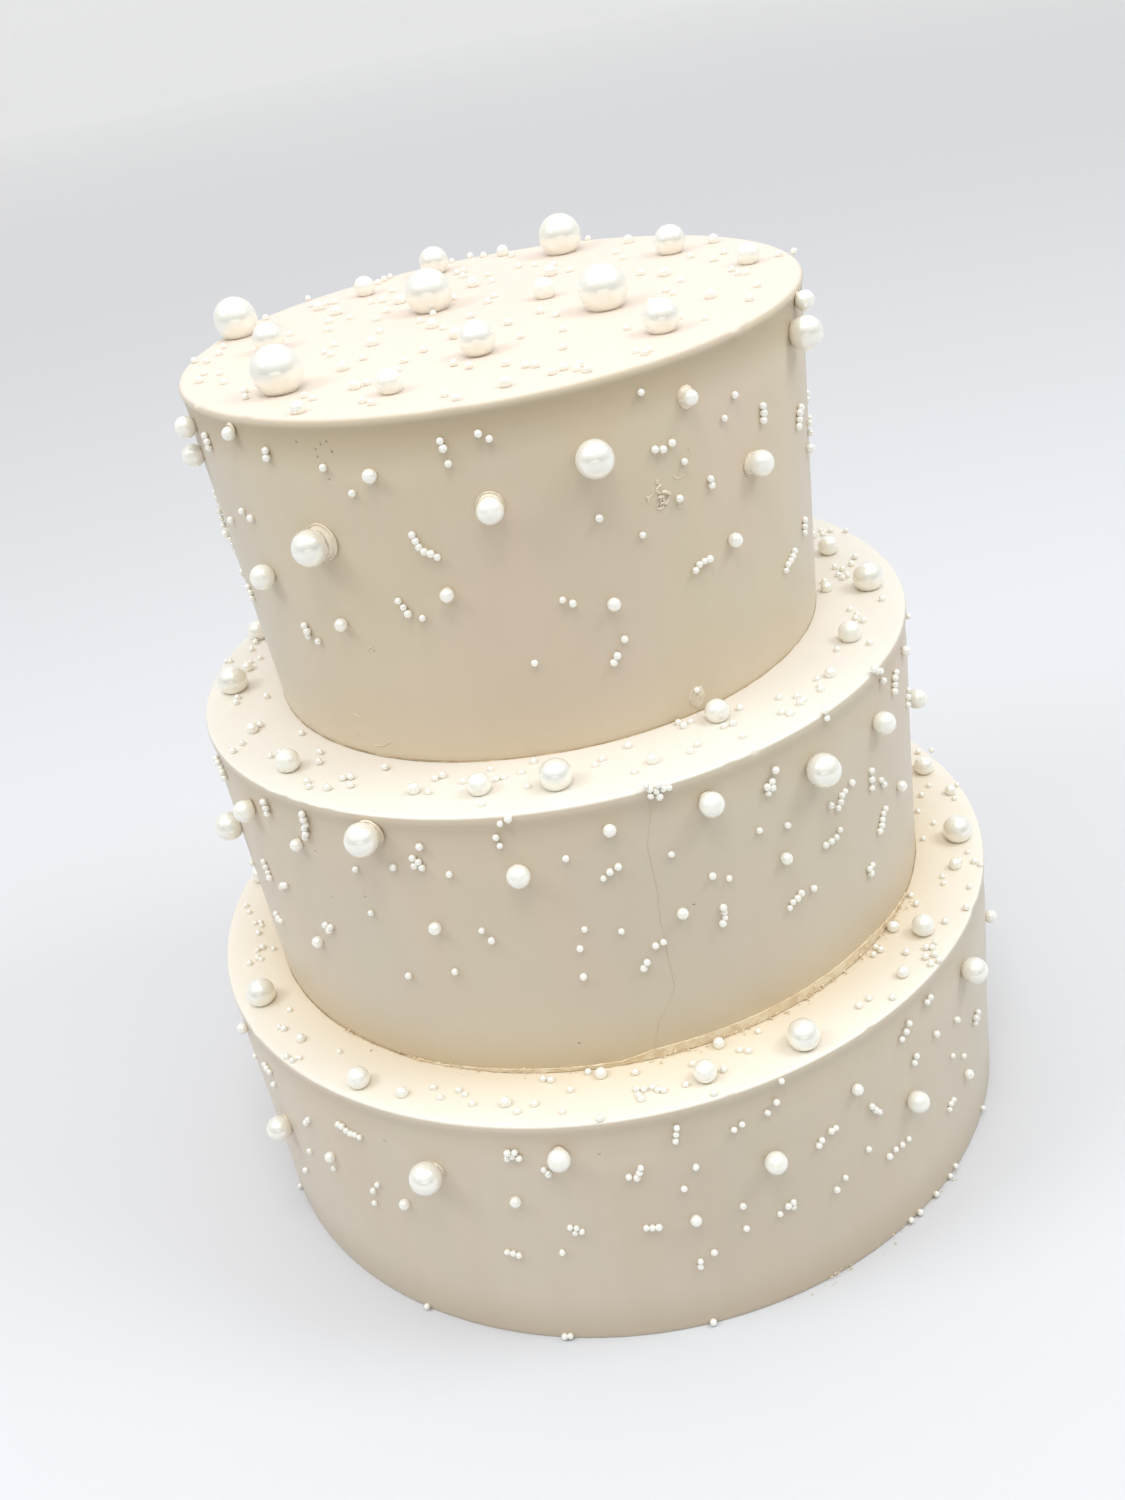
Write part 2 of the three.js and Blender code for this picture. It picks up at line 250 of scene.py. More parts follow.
# Single tiny pearls on the top face and on the near side of the ledges, as found in a crop
TINY_SEEN = {
    "top": {
        "top face left": [
            (620, 330), (430, 418), (935, 258), (963, 243), (990, 230), (930, 297), (1000, 293),
            (1268, 160), (1350, 138), (1410, 135), (1288, 213), (1322, 205), (1318, 228), (1430, 222),
            (1450, 250), (1280, 327), (1458, 318), (1430, 345), (905, 345), (955, 338), (973, 387),
            (928, 423), (810, 415), (712, 433), (712, 470), (945, 478), (737, 538), (698, 570),
            (722, 582), (868, 595), (1052, 607), (1140, 560), (1125, 432), (1230, 460), (1352, 408),
            (1275, 620), (1345, 632), (1232, 760), (1288, 778), (908, 800), (885, 708), (603, 765),
            (637, 777), (335, 745), (338, 772), (240, 705), (130, 700), (150, 665), (222, 665),
            (108, 610), (163, 610), (220, 575), (240, 545), (540, 490), (638, 360), (706, 350),
            (742, 345), (1020, 650),
        ],
        "top face right": [
            (17, 138), (143, 135), (486, 60), (245, 178), (330, 178), (403, 203), (612, 122), (645, 147),
            (723, 215), (905, 247), (838, 293), (868, 305), (947, 138), (1053, 152), (1097, 120),
            (1133, 198), (1160, 215), (1200, 212), (1248, 268), (1213, 330), (1345, 130), (1412, 118),
            (1012, 418), (890, 415), (662, 462), (270, 387), (342, 402), (125, 437), (180, 498),
            (373, 467), (372, 548), (115, 620), (205, 628), (250, 628), (323, 660), (377, 640),
            (437, 645), (452, 625), (482, 650), (700, 567), (740, 575), (762, 560),
        ],
    },
    "middle": {
        "middle ledge left": [
            (258, 145), (300, 187), (132, 203), (152, 203), (250, 208), (187, 388), (180, 412),
            (333, 380), (300, 522), (210, 612), (164, 652), (508, 562), (352, 675), (398, 657),
            (600, 658), (595, 707), (535, 805), (543, 830), (637, 837),
        ],
        "middle ledge front": [
            (133, 680), (158, 676), (158, 702), (266, 646), (328, 625), (414, 630), (546, 632),
            (595, 652), (422, 681), (446, 672), (400, 723), (510, 690), (612, 684), (637, 678),
            (692, 662), (711, 707), (730, 628), (568, 762), (922, 638), (944, 620),
        ],
        "middle ledge right": [
            (276, 536), (212, 579), (233, 661), (409, 597), (430, 575), (370, 507), (387, 497),
            (387, 518), (408, 503), (545, 418), (562, 461), (513, 518), (541, 509), (572, 548),
            (685, 428), (740, 425), (762, 434), (751, 445), (693, 474), (720, 479), (866, 279),
            (803, 370), (811, 391), (968, 259), (949, 189), (929, 169), (906, 153), (924, 182),
        ],
        "middle ledge back": [
            (105, 100), (153, 100), (230, 100), (113, 118), (275, 232), (257, 267), (175, 283),
            (212, 293), (190, 322), (236, 325), (213, 338), (122, 357), (410, 443), (295, 518),
        ],
    },
    "bottom": {
        "bottom ledge left": [
            (95, 205), (110, 233), (137, 282), (160, 278), (165, 293), (150, 328), (145, 405),
            (170, 392), (218, 398), (147, 440), (163, 445), (112, 463), (262, 438), (290, 673),
            (243, 750), (265, 758), (277, 883), (302, 900), (335, 888), (515, 860), (937, 1022),
            (970, 1067), (1052, 1035),
        ],
        "bottom ledge front": [
            (77, 731), (100, 761), (296, 761), (322, 683), (346, 686), (407, 717), (381, 785),
            (463, 661), (499, 806), (610, 662), (614, 715), (637, 716), (620, 733), (628, 745),
            (664, 708), (680, 716), (699, 718), (768, 700), (789, 635), (856, 727), (937, 592),
            (964, 595), (953, 532), (995, 533),
        ],
        "bottom ledge right": [
            (412, 45), (352, 52), (400, 203), (367, 248), (527, 200), (516, 262), (352, 320), (422, 372),
            (375, 442), (575, 502), (605, 545), (632, 558), (540, 540), (462, 612), (467, 642),
            (583, 658), (568, 752), (320, 697), (343, 735), (473, 813), (428, 908), (387, 932),
            (415, 932), (385, 975), (425, 963), (445, 988), (410, 1005), (298, 953), (160, 930),
            (182, 942), (150, 963), (130, 1160), (85, 1193), (237, 1155),
        ],
    },
}

# On the far side of the ledges, and on the sides between the near and the far side, tiny
# pearls are strewn by the same seeded draw: how many groups and their band, and how often a
# group has one, two, three or more pearls
LEDGE_GROUPS = {"top": (0, 6, 87), "middle": (40, 88, 109), "bottom": (46, 113, 128)}
FAR_SIDE = 115
BESIDE_ANGLES = (90, 270)
BESIDE_COUNT = 7
BESIDE_SPREAD = 13
BESIDE_LOW = 26
BESIDE_HIGH = 8
BESIDE_HEADING = -60
BESIDE_TURN = 70
GROUP_SIZES = [1, 1, 1, 1, 2, 2, 2, 3, 3, 5]
STRING_WANDER = 64
LOWEST_SHARE = 0.6

# How tiny pearls vary in size, from which size on a pearl isn't tiny, how far two of them may
# overlap, and how they lie in a knot: five round the first one, and more farther out
TINY_LEAST = 0.86
TINY_SPREAD = 0.2
TINY_MOST = TINY_DIAMETER + 0.3
TINY_OVERLAP = 0.35
KNOT_STEP = 1.9
KNOT_RING = 5
KNOT_WIDER = 2.4
KNOT_TURN = 70
KNOT_WANDER = 14
KNOT_REACH = 8

# Knocks at the rims: angle, how far below the rim, push outwards, push upwards, and reach
KNOCKS = {
    "bottom": [
        [31, 1, -0.5, -0.4, 1.8], [11, 1, -0.4, -0.4, 1.8], [-62, 1, 0.4, 0.2, 5],
        [-20, 1, -0.3, -0.3, 6], [60, 1, -0.4, -0.2, 5], [150, 1, -0.4, -0.3, 5],
    ],
    "middle": [
        [25, 0.5, -0.8, -0.7, 2], [21, 1, -0.5, -0.5, 2], [-50, 1, 0.5, 0.4, 2.4],
        [-46, 1, -0.5, -0.4, 2.2], [-42, 0.5, 0.3, 0.5, 2.4], [-37, 1, -0.4, -0.3, 2.6],
        [-33, 1, 0.3, 0.4, 2.4], [55, 1, -0.3, -0.3, 5], [170, 1, -0.5, -0.4, 5],
    ],
    "top": [
        [42, 1, 0.6, -0.1, 3], [46, 0.5, -0.5, -0.3, 3], [-63, 1, 0.7, 0.1, 1.8],
        [-46, 1, -0.4, -0.3, 2.5], [-8, 1, 0.3, 0.3, 7], [-160, 1, -0.4, -0.3, 4],
    ],
}

# Pinholes in the walls: angle and height
PINHOLES = {
    "bottom": [[-36, 73], [-6.5, 75.5], [140, 40]],
    "middle": [[-43, 72], [-42.6, 56], [-35, 60], [13, 49], [-7, 10], [160, 66]],
    "top": [[-36, 95], [-31, 94], [-29.5, 95], [-32, 93], [-32, 91], [-29, 92], [-31, 85],
            [-32, 35], [-42, 6], [150, 60], [22.6, 63.3], [23.4, 62.7], [25.8, 61.4]],
}
PINHOLE_EDGE = 0.24
PINHOLE_SQUASH = 0.35
PINHOLE_WALL = 0.05
PINHOLE_DEPTH = 0.6

# The hair crack down the middle tier: where it starts at the rim, as angle and height, and
# its places in the whole photograph
CRACK_START = (9, 87)
CRACK_SEEN = [(651, 811), (647, 845), (658, 895), (660, 920), (675, 987), (660, 1020), (654, 1050)]

# Curled shreds of icing at the torn spot of the top tier, and pale scratches near it and at
# its foot: thickness, then places in a crop
SHREDS_SEEN = {
    "torn spot": [
        [0.28, (220, 730), (200, 745), (182, 765), (190, 785), (215, 798)],
        [0.6, (212, 785), (240, 778), (265, 785), (282, 800)],
        [0.34, (205, 850), (215, 830), (235, 835), (240, 855), (225, 865), (208, 858)],
        [0.36, (272, 805), (268, 830), (255, 855), (240, 870)],
        [0.26, (188, 872), (190, 895), (210, 905), (232, 890), (235, 875)],
        [0.2, (152, 765), (155, 800), (130, 825), (122, 850)],
        [0.18, (330, 870), (340, 895), (358, 885)],
        [0.14, (300, 670), (325, 688), (355, 675), (385, 655)],
        [0.12, (405, 475), (418, 505), (410, 545)],
    ],
    "top wall foot": [
        [0.14, (205, 285), (225, 270)],
        [0.14, (230, 580), (260, 580), (283, 568)],
        [0.12, (158, 480), (185, 490)],
    ],
}

# More shreds, and the edge of a drop of glue: thickness, then angles and heights
SHREDS = [
    [0.5, [22.4, 65.6], [22.9, 65.9], [23.6, 65.6]],
    [0.22, [20.2, 67.4], [20.9, 66.2], [20.3, 65.2]],
    [0.24, [22.9, 69.3], [22.4, 70.1], [22.9, 70.6]],
    [0.16, [27.3, 5], [26.9, 7], [25.7, 7.9], [24.5, 7.1], [24, 5], [24.5, 2.9], [25.7, 2.1],
     [26.9, 3], [27.3, 5]],
    [0.12, [24.4, 5.6], [25.3, 4.6], [26.4, 5.3]],
    [0.12, [24.9, 3.4], [25.8, 3.9], [26.7, 3.2]],
]
CRACK_THICK = 0.08
THREAD_STEP = 1.4
THREAD_WANDER = 0.12
THREAD_LEAST = 0.8
THREAD_MORE = 0.4

# Drops of dried glue on the top tier: angle, height, width, height and thickness
GLUE_DROPS = [[25.7, 5, 5.2, 6, 1.1], [29.7, 89.2, 5, 5.8, 3.6]]
GLUE_DOME = 0.1
GLUE_SLUMPS = [((0, -0.5, 0), (0, -0.08, 0.05), 0.5), ((0.3, 0.4, 0), (0.04, 0.03, 0), 0.4)]

# The coat just under each rim: how far below the rim, and how far it is drawn in
UNDER_RIM = [[4, 0.4], [6, 0.5], [8, 0.45], [10, 0.35], [12, 0.25], [14, 0.15], [16, 0.05]]
UNDER_RIM_REACH = 1

# The broken edge at the foot of the middle tier, which is low up to an angle
BAND_FROM = -36
BAND_TO = 60
BAND_LOW_TO = 3
BAND_LOW_SHARE = 0.4
BAND_HEIGHT = 3.2
BAND_PROUD = 0.08
BAND_LIFT = 0.2
BAND_THICK = 0.5
BAND_ROUGH = 0.18
BAND_RELIEF = (3, 0.5)
BAND_SIDES = 900
BAND_STEPS = 5
BAND_LOW_STEPS = 5
BAND_END_STEPS = 7
BAND_END_STEP = 4
BAND_END_SHARE = 0.82

# The beads at the feet of the middle and the top tier
LINE_SIDES = 420
LINE_FACETS = 8
LINE_LIFT = 0.55
LINE_BUMPS = 4
LINE_BUMP_SHARE = 1.2

# Crumbs: their least size and how much larger they get, their form, how high they stick to
# the wall and how far they lie off it, and the share that sticks to it
CRUMB_LEAST = 0.35
CRUMB_MORE = 0.5
CRUMB_FORM = (1.3, 1, 0.7)
CRUMB_ROUGH = 0.22
CRUMB_HIGH = 2.4
CRUMB_FAR = 2.5
CRUMBS_ON_WALL = 0.6

# Balls that pearls are copied from: steps of subdivision, number of pushes and their depth;
# then the loose pearls: over and up to which diameter, and how far they are raised
BALLS = [("large", 5, 4, 0.02), ("medium", 4, 4, 0.025), ("small", 3, 3, 0.04), ("tiny", 2, 3, 0.07)]
LOOSE = [("medium", 5, 8, 0), ("small", 2.6, 5, 0), ("tiny", 0, 2.6, TINY_RAISED)]
DENT_REACH = 0.9
DENT_OUTWARD = 0.3
PEARL_SPIN = 77

# A collar's rings from its outer foot over its edge to its inner foot, for a pearl of
# radius 1, as distance from its axis and height over the wall; how far collars lean to a
# side; and their sizes
COLLAR_RINGS = [
    [1.12, -0.06], [1.1, 0.18], [1.02, 0.22], [0.96, 0.08], [0.9, 0.32], [0.8, 0.42],
    [0.6, 0.34], [0.4, -0.06],
]
COLLAR_LEANS = [0.08, -0.06, 0, 0.06, -0.08, 0.04]
COLLAR_RISES = [0.05, 0.3, 0, 0.1, 0.36, 0.02, 0.2]
COLLAR_SIZES = [0.52, 0.56, 0.5, 0.55, 0.6]
COLLAR_SIDES = 24
COLLAR_ROUGH = 0.05
COLLARED_FROM = 2.7
COLLAR_FACET = 0.4
COLLAR_HAIR = 0.01
COLLAR_NEAR = 1.1
COLLAR_SPIN = 131

# The collars that show: tier, angle and height of the pearl, size, and how far the collar
# leans to the right and upwards, as shares of the pearl's radius
LARGE_COLLARS = [
    ["top", -37, 67, 1.02, 0.26, 0.1],
    ["top", -5, 74, 1, 0, 0.18],
    ["top", 44, 64, 0.9, -0.26, -0.08],
    ["top", 78, 83, 0.88, -0.2, 0],
    ["top", -51, 96, 0.96, 0, 0.5],
    ["middle", -31, 83, 0.86, 0.16, 0],
    ["bottom", -29, 67, 0.64, 0.3, 0],
    ["bottom", 15, 59, 0.6, 0, -0.5],
]


def make_draw(seed):
    """A repeatable draw between 0 and 1."""
    state = seed

    def draw():
        nonlocal state
        state = (state * 16807) % 2147483647
        return state / 2147483647

    return draw


def stack_tiers():
    """Adds the heights of each tier's base and top, and the tier that stands on it."""
    level = 0
    for index, tier in enumerate(TIERS):
        tier["base"] = level
        level += tier["height"]
        tier["level"] = level
        tier["above"] = TIERS[index + 1] if index + 1 < len(TIERS) else None


def wall_radius(tier, height):
    share = height / tier["height"]
    return tier["foot_radius"] + (tier["rim_radius"] - tier["foot_radius"]) * share


def axis_of(tier):
    return Vector((tier["right"], tier["back"], 0))


def outward(angle):
    """The horizontal direction away from the axis at an angle round the cake."""
    turn = math.radians(angle)
    return Vector((math.sin(turn), -math.cos(turn), 0))


def camera_axes():
    """The directions to the right, up and back of the camera."""
    yaw, down, roll = (math.radians(v) for v in (CAMERA_YAW, CAMERA_DOWN, CAMERA_ROLL))
    level_part = math.cos(down)
    forward = Vector((math.sin(yaw) * level_part, math.cos(yaw) * level_part, -math.sin(down)))
    right = Vector((math.cos(yaw), -math.sin(yaw), 0))
    up = right.cross(forward)
    rolled_right = right * math.cos(roll) + up * math.sin(roll)
    rolled_up = up * math.cos(roll) - right * math.sin(roll)
    return rolled_right, rolled_up, -forward


def line_of_sight(crop, x, y):
    """The direction in which the camera sees a place in a crop of the photograph."""
    left, upper, enlarged = CROPS[crop]
    across = left + x / enlarged - PHOTO_WIDE / 2
    above = PHOTO_HIGH / 2 - upper - y / enlarged
    right, up, back = camera_axes()
    return (right * across + up * above) * SENSOR / PHOTO_HIGH - back * LENS


def seen_on_ledge(tier, crop, x, y):
    """The angle and the distance on a ledge of a tiny pearl that is seen in a crop."""
    line = line_of_sight(crop, x, y)
    start = Vector(CAMERA_PLACE) - axis_of(tier)
    drop = tier["level"] + TINY_STANDS - start.z
    spot = start + line * (drop / line.z)
    return math.degrees(math.atan2(spot.x, -spot.y)), math.hypot(spot.x, spot.y)


def seen_on_side(tier, crop, x, y, proud=TINY_STANDS):
    """The angle and the height on a side of a tiny pearl or a mark that is seen in a crop."""
    line = line_of_sight(crop, x, y)
    start = Vector(CAMERA_PLACE) - axis_of(tier)
    height = tier["height"] / 2
    for _ in range(SIGHT_ROUNDS):
        radius = wall_radius(tier, height) + proud
        run = line.x ** 2 + line.y ** 2
        half = start.x * line.x + start.y * line.y
        beyond = start.x ** 2 + start.y ** 2 - radius ** 2
        reach = (-half - math.sqrt(max(half ** 2 - run * beyond, 0))) / run
        height = start.z + line.z * reach - tier["base"]
    spot = start + line * reach
    return math.degrees(math.atan2(spot.x, -spot.y)), height


def seen_strings(tier):
    """The strings found in the crops, as angle, height, count, heading and step."""
    rows = []
    for crop, strings in STRINGS_SEEN[tier["name"]].items():
        for x, y, *rest in strings:
            angle, height = seen_on_side(tier, crop, x, y)
            if not rest:
                rows.append([angle, height, 1, 0])
                continue
            end_x, end_y, count = rest
            end_angle, end_height = seen_on_side(tier, crop, end_x, end_y)
            across = math.radians(end_angle - angle) * wall_radius(tier, height)
            up = end_height - height
            step = max(math.hypot(across, up) / (count - 1), CLOSE_STEP)
            rows.append([angle, height, count, math.degrees(math.atan2(up, across)), step])
    return rows


def stands_off(diameter):
    """How far a pearl's centre is from the icing that it sinks into."""
    return diameter / 2 - max(diameter * SUNK_SHARE, SUNK_LEAST)


def make_pearl(tier, face, angle, place, diameter):
    reach, height, out = place, tier["level"] + stands_off(diameter), UP
    if face == "side":
        reach = wall_radius(tier, place) + stands_off(diameter)
        height, out = tier["base"] + place, outward(angle)
    centre = axis_of(tier) + outward(angle) * reach + UP * height
    return {"tier": tier, "face": face, "diameter": diameter, "centre": centre, "out": out}


def has_room(pearl, placed, room=PEARL_ROOM):
    """Whether a pearl is clear of those placed before it and of the next tier's foot."""
    for other in placed:
        apart = (other["centre"] - pearl["centre"]).length
        if apart <= (other["diameter"] + pearl["diameter"]) / 2 + room:
            return False
    above = pearl["tier"]["above"]
    if above is None or pearl["face"] != "ledge":
        return True
    from_axis = (pearl["centre"] - axis_of(above)).xy.length
    return from_axis - pearl["diameter"] / 2 > above["foot_radius"] + FOOT_ROOM


def own_pearls(tier):
    """The pearls of a tier that are pieces of their own, as the frame holds them."""
    found = []
    for name in sorted(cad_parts):
        if not name.startswith("pearl_" + tier["name"]):
            continue
        low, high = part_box(name)
        centre = (low + high) / 2 / MM
        side = centre.z < tier["level"]
        out = (centre - axis_of(tier)).xy.to_3d().normalized() if side else UP
        found.append({
            "node": name,
            "tier": tier,
            "face": "side" if side else "ledge",
            "diameter": max(high - low) / MM,
            "centre": centre,
            "out": out,
        })
    return found


def planned_pearls(tier, placed):
    """Adds the planned pearls, with the near side's repeated half round the cake."""
    for face in ("ledge", "side"):
        for angle, place, diameter in PEARLS[tier["name"]][face]:
            placed.append(make_pearl(tier, face, angle, place, diameter))
    for face in ("side", "ledge"):
        if face == "ledge" and tier["above"] is None:
            continue
        for angle, place, diameter in PEARLS[tier["name"]][face]:
            if abs(angle) > NEAR_SIDE:
                continue
            pearl = make_pearl(tier, face, angle + 180, place, diameter)
            if has_room(pearl, placed):
                placed.append(pearl)


def strew_pearls(tier, face, placed, draw):
    """Adds tiny single pearls, one in each equal step round the cake, where there is room."""
    count, near, far = STREWN[tier["name"]][face]
    for index in range(count):
        angle = (index + 0.5 + STEP_JITTER * (draw() - 0.5)) * 360 / count
        place = near + (far - near) * math.sqrt(draw())
        pearl = make_pearl(tier, face, angle, place, TINY_DIAMETER)
        if has_room(pearl, placed):
            placed.append(pearl)


def add_tiny(tier, face, angle, place, placed, draw):
    """Adds one tiny pearl, which may touch other tiny ones but no larger one."""
    diameter = TINY_DIAMETER * (TINY_LEAST + TINY_SPREAD * draw())
    pearl = make_pearl(tier, face, angle, place, diameter)
    larger = [other for other in placed if other["diameter"] > TINY_MOST]
    tiny = [other for other in placed if other["diameter"] <= TINY_MOST]
    if has_room(pearl, larger, 0) and has_room(pearl, tiny, -TINY_OVERLAP):
        placed.append(pearl)


def add_string(tier, row, placed, draw):
    """Lays a string of tiny pearls on a side, with a little wander in its heading."""
    angle, height, count, heading = row[:4]
    step = row[4] if len(row) > 4 else CLOSE_STEP
    for _ in range(count):
        add_tiny(tier, "side", angle, height, placed, draw)
        turn = math.radians(heading + STRING_WANDER * (draw() - 0.5))
        angle += math.degrees(step * math.cos(turn) / wall_radius(tier, height))
        height = max(height + step * math.sin(turn), TINY_DIAMETER * LOWEST_SHARE)


def add_knot(tier, face, angle, place, count, placed, draw):
    """Packs tiny pearls close together round a point, as they come off a wet fingertip."""
    reach = wall_radius(tier, tier["height"] / 2) if face == "side" else max(place, KNOT_REACH)
    start = draw() * 360
    for index in range(count):
        ring = (index - 1) // KNOT_RING
        away = 0 if index == 0 else KNOT_STEP * math.sqrt(1 + ring * KNOT_WIDER)
        turn = math.radians(start + index * KNOT_TURN + KNOT_WANDER * (draw() - 0.5))
        across = math.degrees(away * math.cos(turn) / reach)
        along = away * math.sin(turn)
        add_tiny(tier, face, angle + across, place + along, placed, draw)


def draw_size(draw):
    """How many pearls a group has."""
    return GROUP_SIZES[int(draw() * len(GROUP_SIZES))]


def tiny_groups(tier, placed, draw):
    """Adds the strings and knots of tiny pearls, also on the far side, and those on ledges."""
    for turned in (0, 180):
        for row in seen_strings(tier) + STRINGS[tier["name"]]:
            add_string(tier, [row[0] + turned] + row[1:], placed, draw)
        for angle, height, count in KNOTS[tier["name"]]:
            add_knot(tier, "side", angle + turned, height, count, placed, draw)
    for middle_angle in BESIDE_ANGLES:
        for _ in range(BESIDE_COUNT):
            angle = middle_angle + BESIDE_SPREAD * (draw() - 0.5)
            height = BESIDE_LOW + (tier["height"] - BESIDE_LOW - BESIDE_HIGH) * draw()
            count = draw_size(draw)
            heading = BESIDE_HEADING - BESIDE_TURN * draw()
            add_string(tier, [angle, height, count, heading], placed, draw)
    for crop, places in TINY_SEEN[tier["name"]].items():
        for x, y in places:
            angle, place = seen_on_ledge(tier, crop, x, y)
            add_tiny(tier, "ledge", angle, place, placed, draw)
    count, near, far = LEDGE_GROUPS[tier["name"]]
    for _ in range(count):
        angle = FAR_SIDE + (360 - 2 * FAR_SIDE) * draw()
        place = math.sqrt(near ** 2 + (far ** 2 - near ** 2) * draw())
        add_knot(tier, "ledge", angle, place, draw_size(draw), placed, draw)


def plan_cake():
    """All pearls of the cake, each with its tier, place and size."""
    draw = make_draw(DRAW_SEED)
    plans = {}
    for tier in TIERS:
        placed = own_pearls(tier)
        planned_pearls(tier, placed)
        strew_pearls(tier, "ledge", placed, draw)
        strew_pearls(tier, "side", placed, draw)
        plans[tier["name"]] = placed
    for tier in TIERS:
        tiny_groups(tier, plans[tier["name"]], draw)
    return plans


# Modelling helpers


def deselect_all():
    if bpy.context.object and bpy.context.object.mode != "OBJECT":
        end_edit()
    bpy.ops.object.select_all(action="DESELECT")


def activate(obj):
    deselect_all()
    obj.select_set(True)
    bpy.context.view_layer.objects.active = obj


def start_edit(kind, action="SELECT"):
    """Goes to edit mode for points, edges or faces, with all or none of them selected."""
    bpy.ops.object.mode_set(mode="EDIT")
    bpy.ops.mesh.select_mode(type=kind)
    bpy.ops.mesh.select_all(action=action)


def end_edit():
    bpy.ops.object.mode_set(mode="OBJECT")


def pick(obj, kind, test):
    """Goes to edit mode with the points, edges or faces selected that pass a test.

    A point is tested by its place, an edge by the places of its two ends.
    """
    activate(obj)
    start_edit(kind, "DESELECT")
    end_edit()
    points = obj.data.vertices
    if kind == "VERT":
        for point in points:
            point.select = test(point.co)
    elif kind == "EDGE":
        for edge in obj.data.edges:
            edge.select = test(*(points[end].co for end in edge.vertices))
    else:
        for face in obj.data.polygons:
            face.select = test(face)
    bpy.ops.object.mode_set(mode="EDIT")


def everywhere(co):
    return True


def resize(obj, test, across, up, centre):
    """Scales the points that pass a test, across and upwards, about a centre."""
    pick(obj, "VERT", test)
    bpy.ops.transform.resize(value=(across, across, up), center_override=centre)
    end_edit()


def shake(obj, amount, seed):
    """Moves every point of an object a little, each its own way."""
    pick(obj, "VERT", everywhere)
    bpy.ops.transform.vertex_random(offset=amount, seed=seed)
    end_edit()


def face_outwards(obj):
    pick(obj, "VERT", everywhere)
    bpy.ops.mesh.normals_make_consistent(inside=False)
    end_edit()


def add_mesh(name, primitive, **sizes):
    """A new mesh from one of Blender's primitives, as the active object."""
    deselect_all()
    primitive(**sizes)
    bpy.context.object.name = name
    return bpy.context.object


def apply_all(obj):
    """Applies an object's place and its modifiers, so that its form is in its mesh."""
    activate(obj)
    bpy.ops.object.transform_apply(location=True, rotation=True, scale=True)
    for modifier in list(obj.modifiers):
        bpy.ops.object.modifier_apply(modifier=modifier.name)


def smooth(obj):
    """Adds one step of subdivision."""
    modifier = obj.modifiers.new("smooth", "SUBSURF")
    modifier.levels = 1
    modifier.render_levels = 1


def remove(obj):
    mesh = obj.data
    bpy.data.objects.remove(obj)
    bpy.data.meshes.remove(mesh)


def add_relief(obj, name, size, depth, group=""):
    """Adds soft bumps of a size and depth as a modifier."""
    texture = bpy.data.textures.new(name, "CLOUDS")
    texture.noise_scale = size * MM
    texture.noise_depth = 1
    relief = obj.modifiers.new(name, "DISPLACE")
    relief.texture = texture
    relief.texture_coords = "LOCAL"
    relief.strength = depth * MM
    relief.mid_level = 0.5
    relief.vertex_group = group


def join_pieces(name, pieces):
    """Joins finished pieces into one."""
    deselect_all()
    for piece in pieces:
        piece.select_set(True)
    bpy.context.view_layer.objects.active = pieces[0]
    bpy.ops.object.join()
    pieces[0].name = name
    pieces[0].data.name = name
    return pieces[0]


def join_copies(name, models, pearls, shape):
    """Copies a model to each place and joins the copies into one piece."""
    copies = []
    for index, pearl in enumerate(pearls):
        model = models[index % len(models)]
        copy = model.copy()
        copy.data = model.data.copy()
        copy.matrix_world = shape(pearl, index)
        bpy.context.collection.objects.link(copy)
        copies.append(copy)
    piece = join_pieces(name, copies)
    apply_all(piece)
    return piece


# Materials


def feed(tree, node, inputs):
    """Puts a value, or what another node puts out, on each named input of a node."""
    for socket, value in inputs.items():
        if isinstance(value, bpy.types.NodeSocket):
            tree.links.new(value, node.inputs[socket])
        else:
            node.inputs[socket].default_value = value


def add_node(tree, kind, inputs, **settings):
    node = tree.nodes.new("ShaderNode" + kind)
    for name, value in settings.items():
        setattr(node, name, value)
    feed(tree, node, inputs)
    return node.outputs


def reckon(tree, operation, *inputs, kind="Math", result=0):
    """What a sum or another operation gives for its inputs."""
    return add_node(tree, kind, dict(enumerate(inputs)), operation=operation)[result]


def fade(tree, value, start, end, low=0, high=1, kind="SMOOTHSTEP"):
    """A share that goes from low to high while a value goes from a start to an end."""
    inputs = {"Value": value, "From Min": start, "From Max": end, "To Min": low, "To Max": high}
    return add_node(tree, "MapRange", inputs, interpolation_type=kind)["Result"]


def blend(tree, share, below, above):
    """A colour over another one, by a share."""
    return add_node(tree, "Mix", {"Factor": share, "A": below, "B": above}, data_type="RGBA")["Result"]


def object_place(tree):
    return add_node(tree, "TexCoord", {})["Object"]


def part_of(tree, vector, axis):
    return add_node(tree, "SeparateXYZ", {"Vector": vector})[axis]


def new_group(name, output, **inputs):
    """An empty shader node group with one output, and inputs of the kind of their values."""
    group = bpy.data.node_groups.new(name, "ShaderNodeTree")
    for label, value in inputs.items():
        kind = VECTOR_SOCKETS[len(value)] if isinstance(value, tuple) else "NodeSocketFloat"
        group.interface.new_socket(label, in_out="INPUT", socket_type=kind).default_value = value
    kind = "NodeSocketColor" if output == "Color" else "NodeSocketFloat"
    group.interface.new_socket(output, in_out="OUTPUT", socket_type=kind)
    entry = group.nodes.new("NodeGroupInput")
    leave = group.nodes.new("NodeGroupOutput")
    return group, entry.outputs, leave.inputs


def lay_tint(group, entry, leave, share):
    """Ends a group: its tint over its base, by a share of its amount."""
    part = reckon(group, "MULTIPLY", share, entry["Amount"])
    group.links.new(blend(group, part, entry["Base"], entry["Tint"]), leave["Color"])
    return group


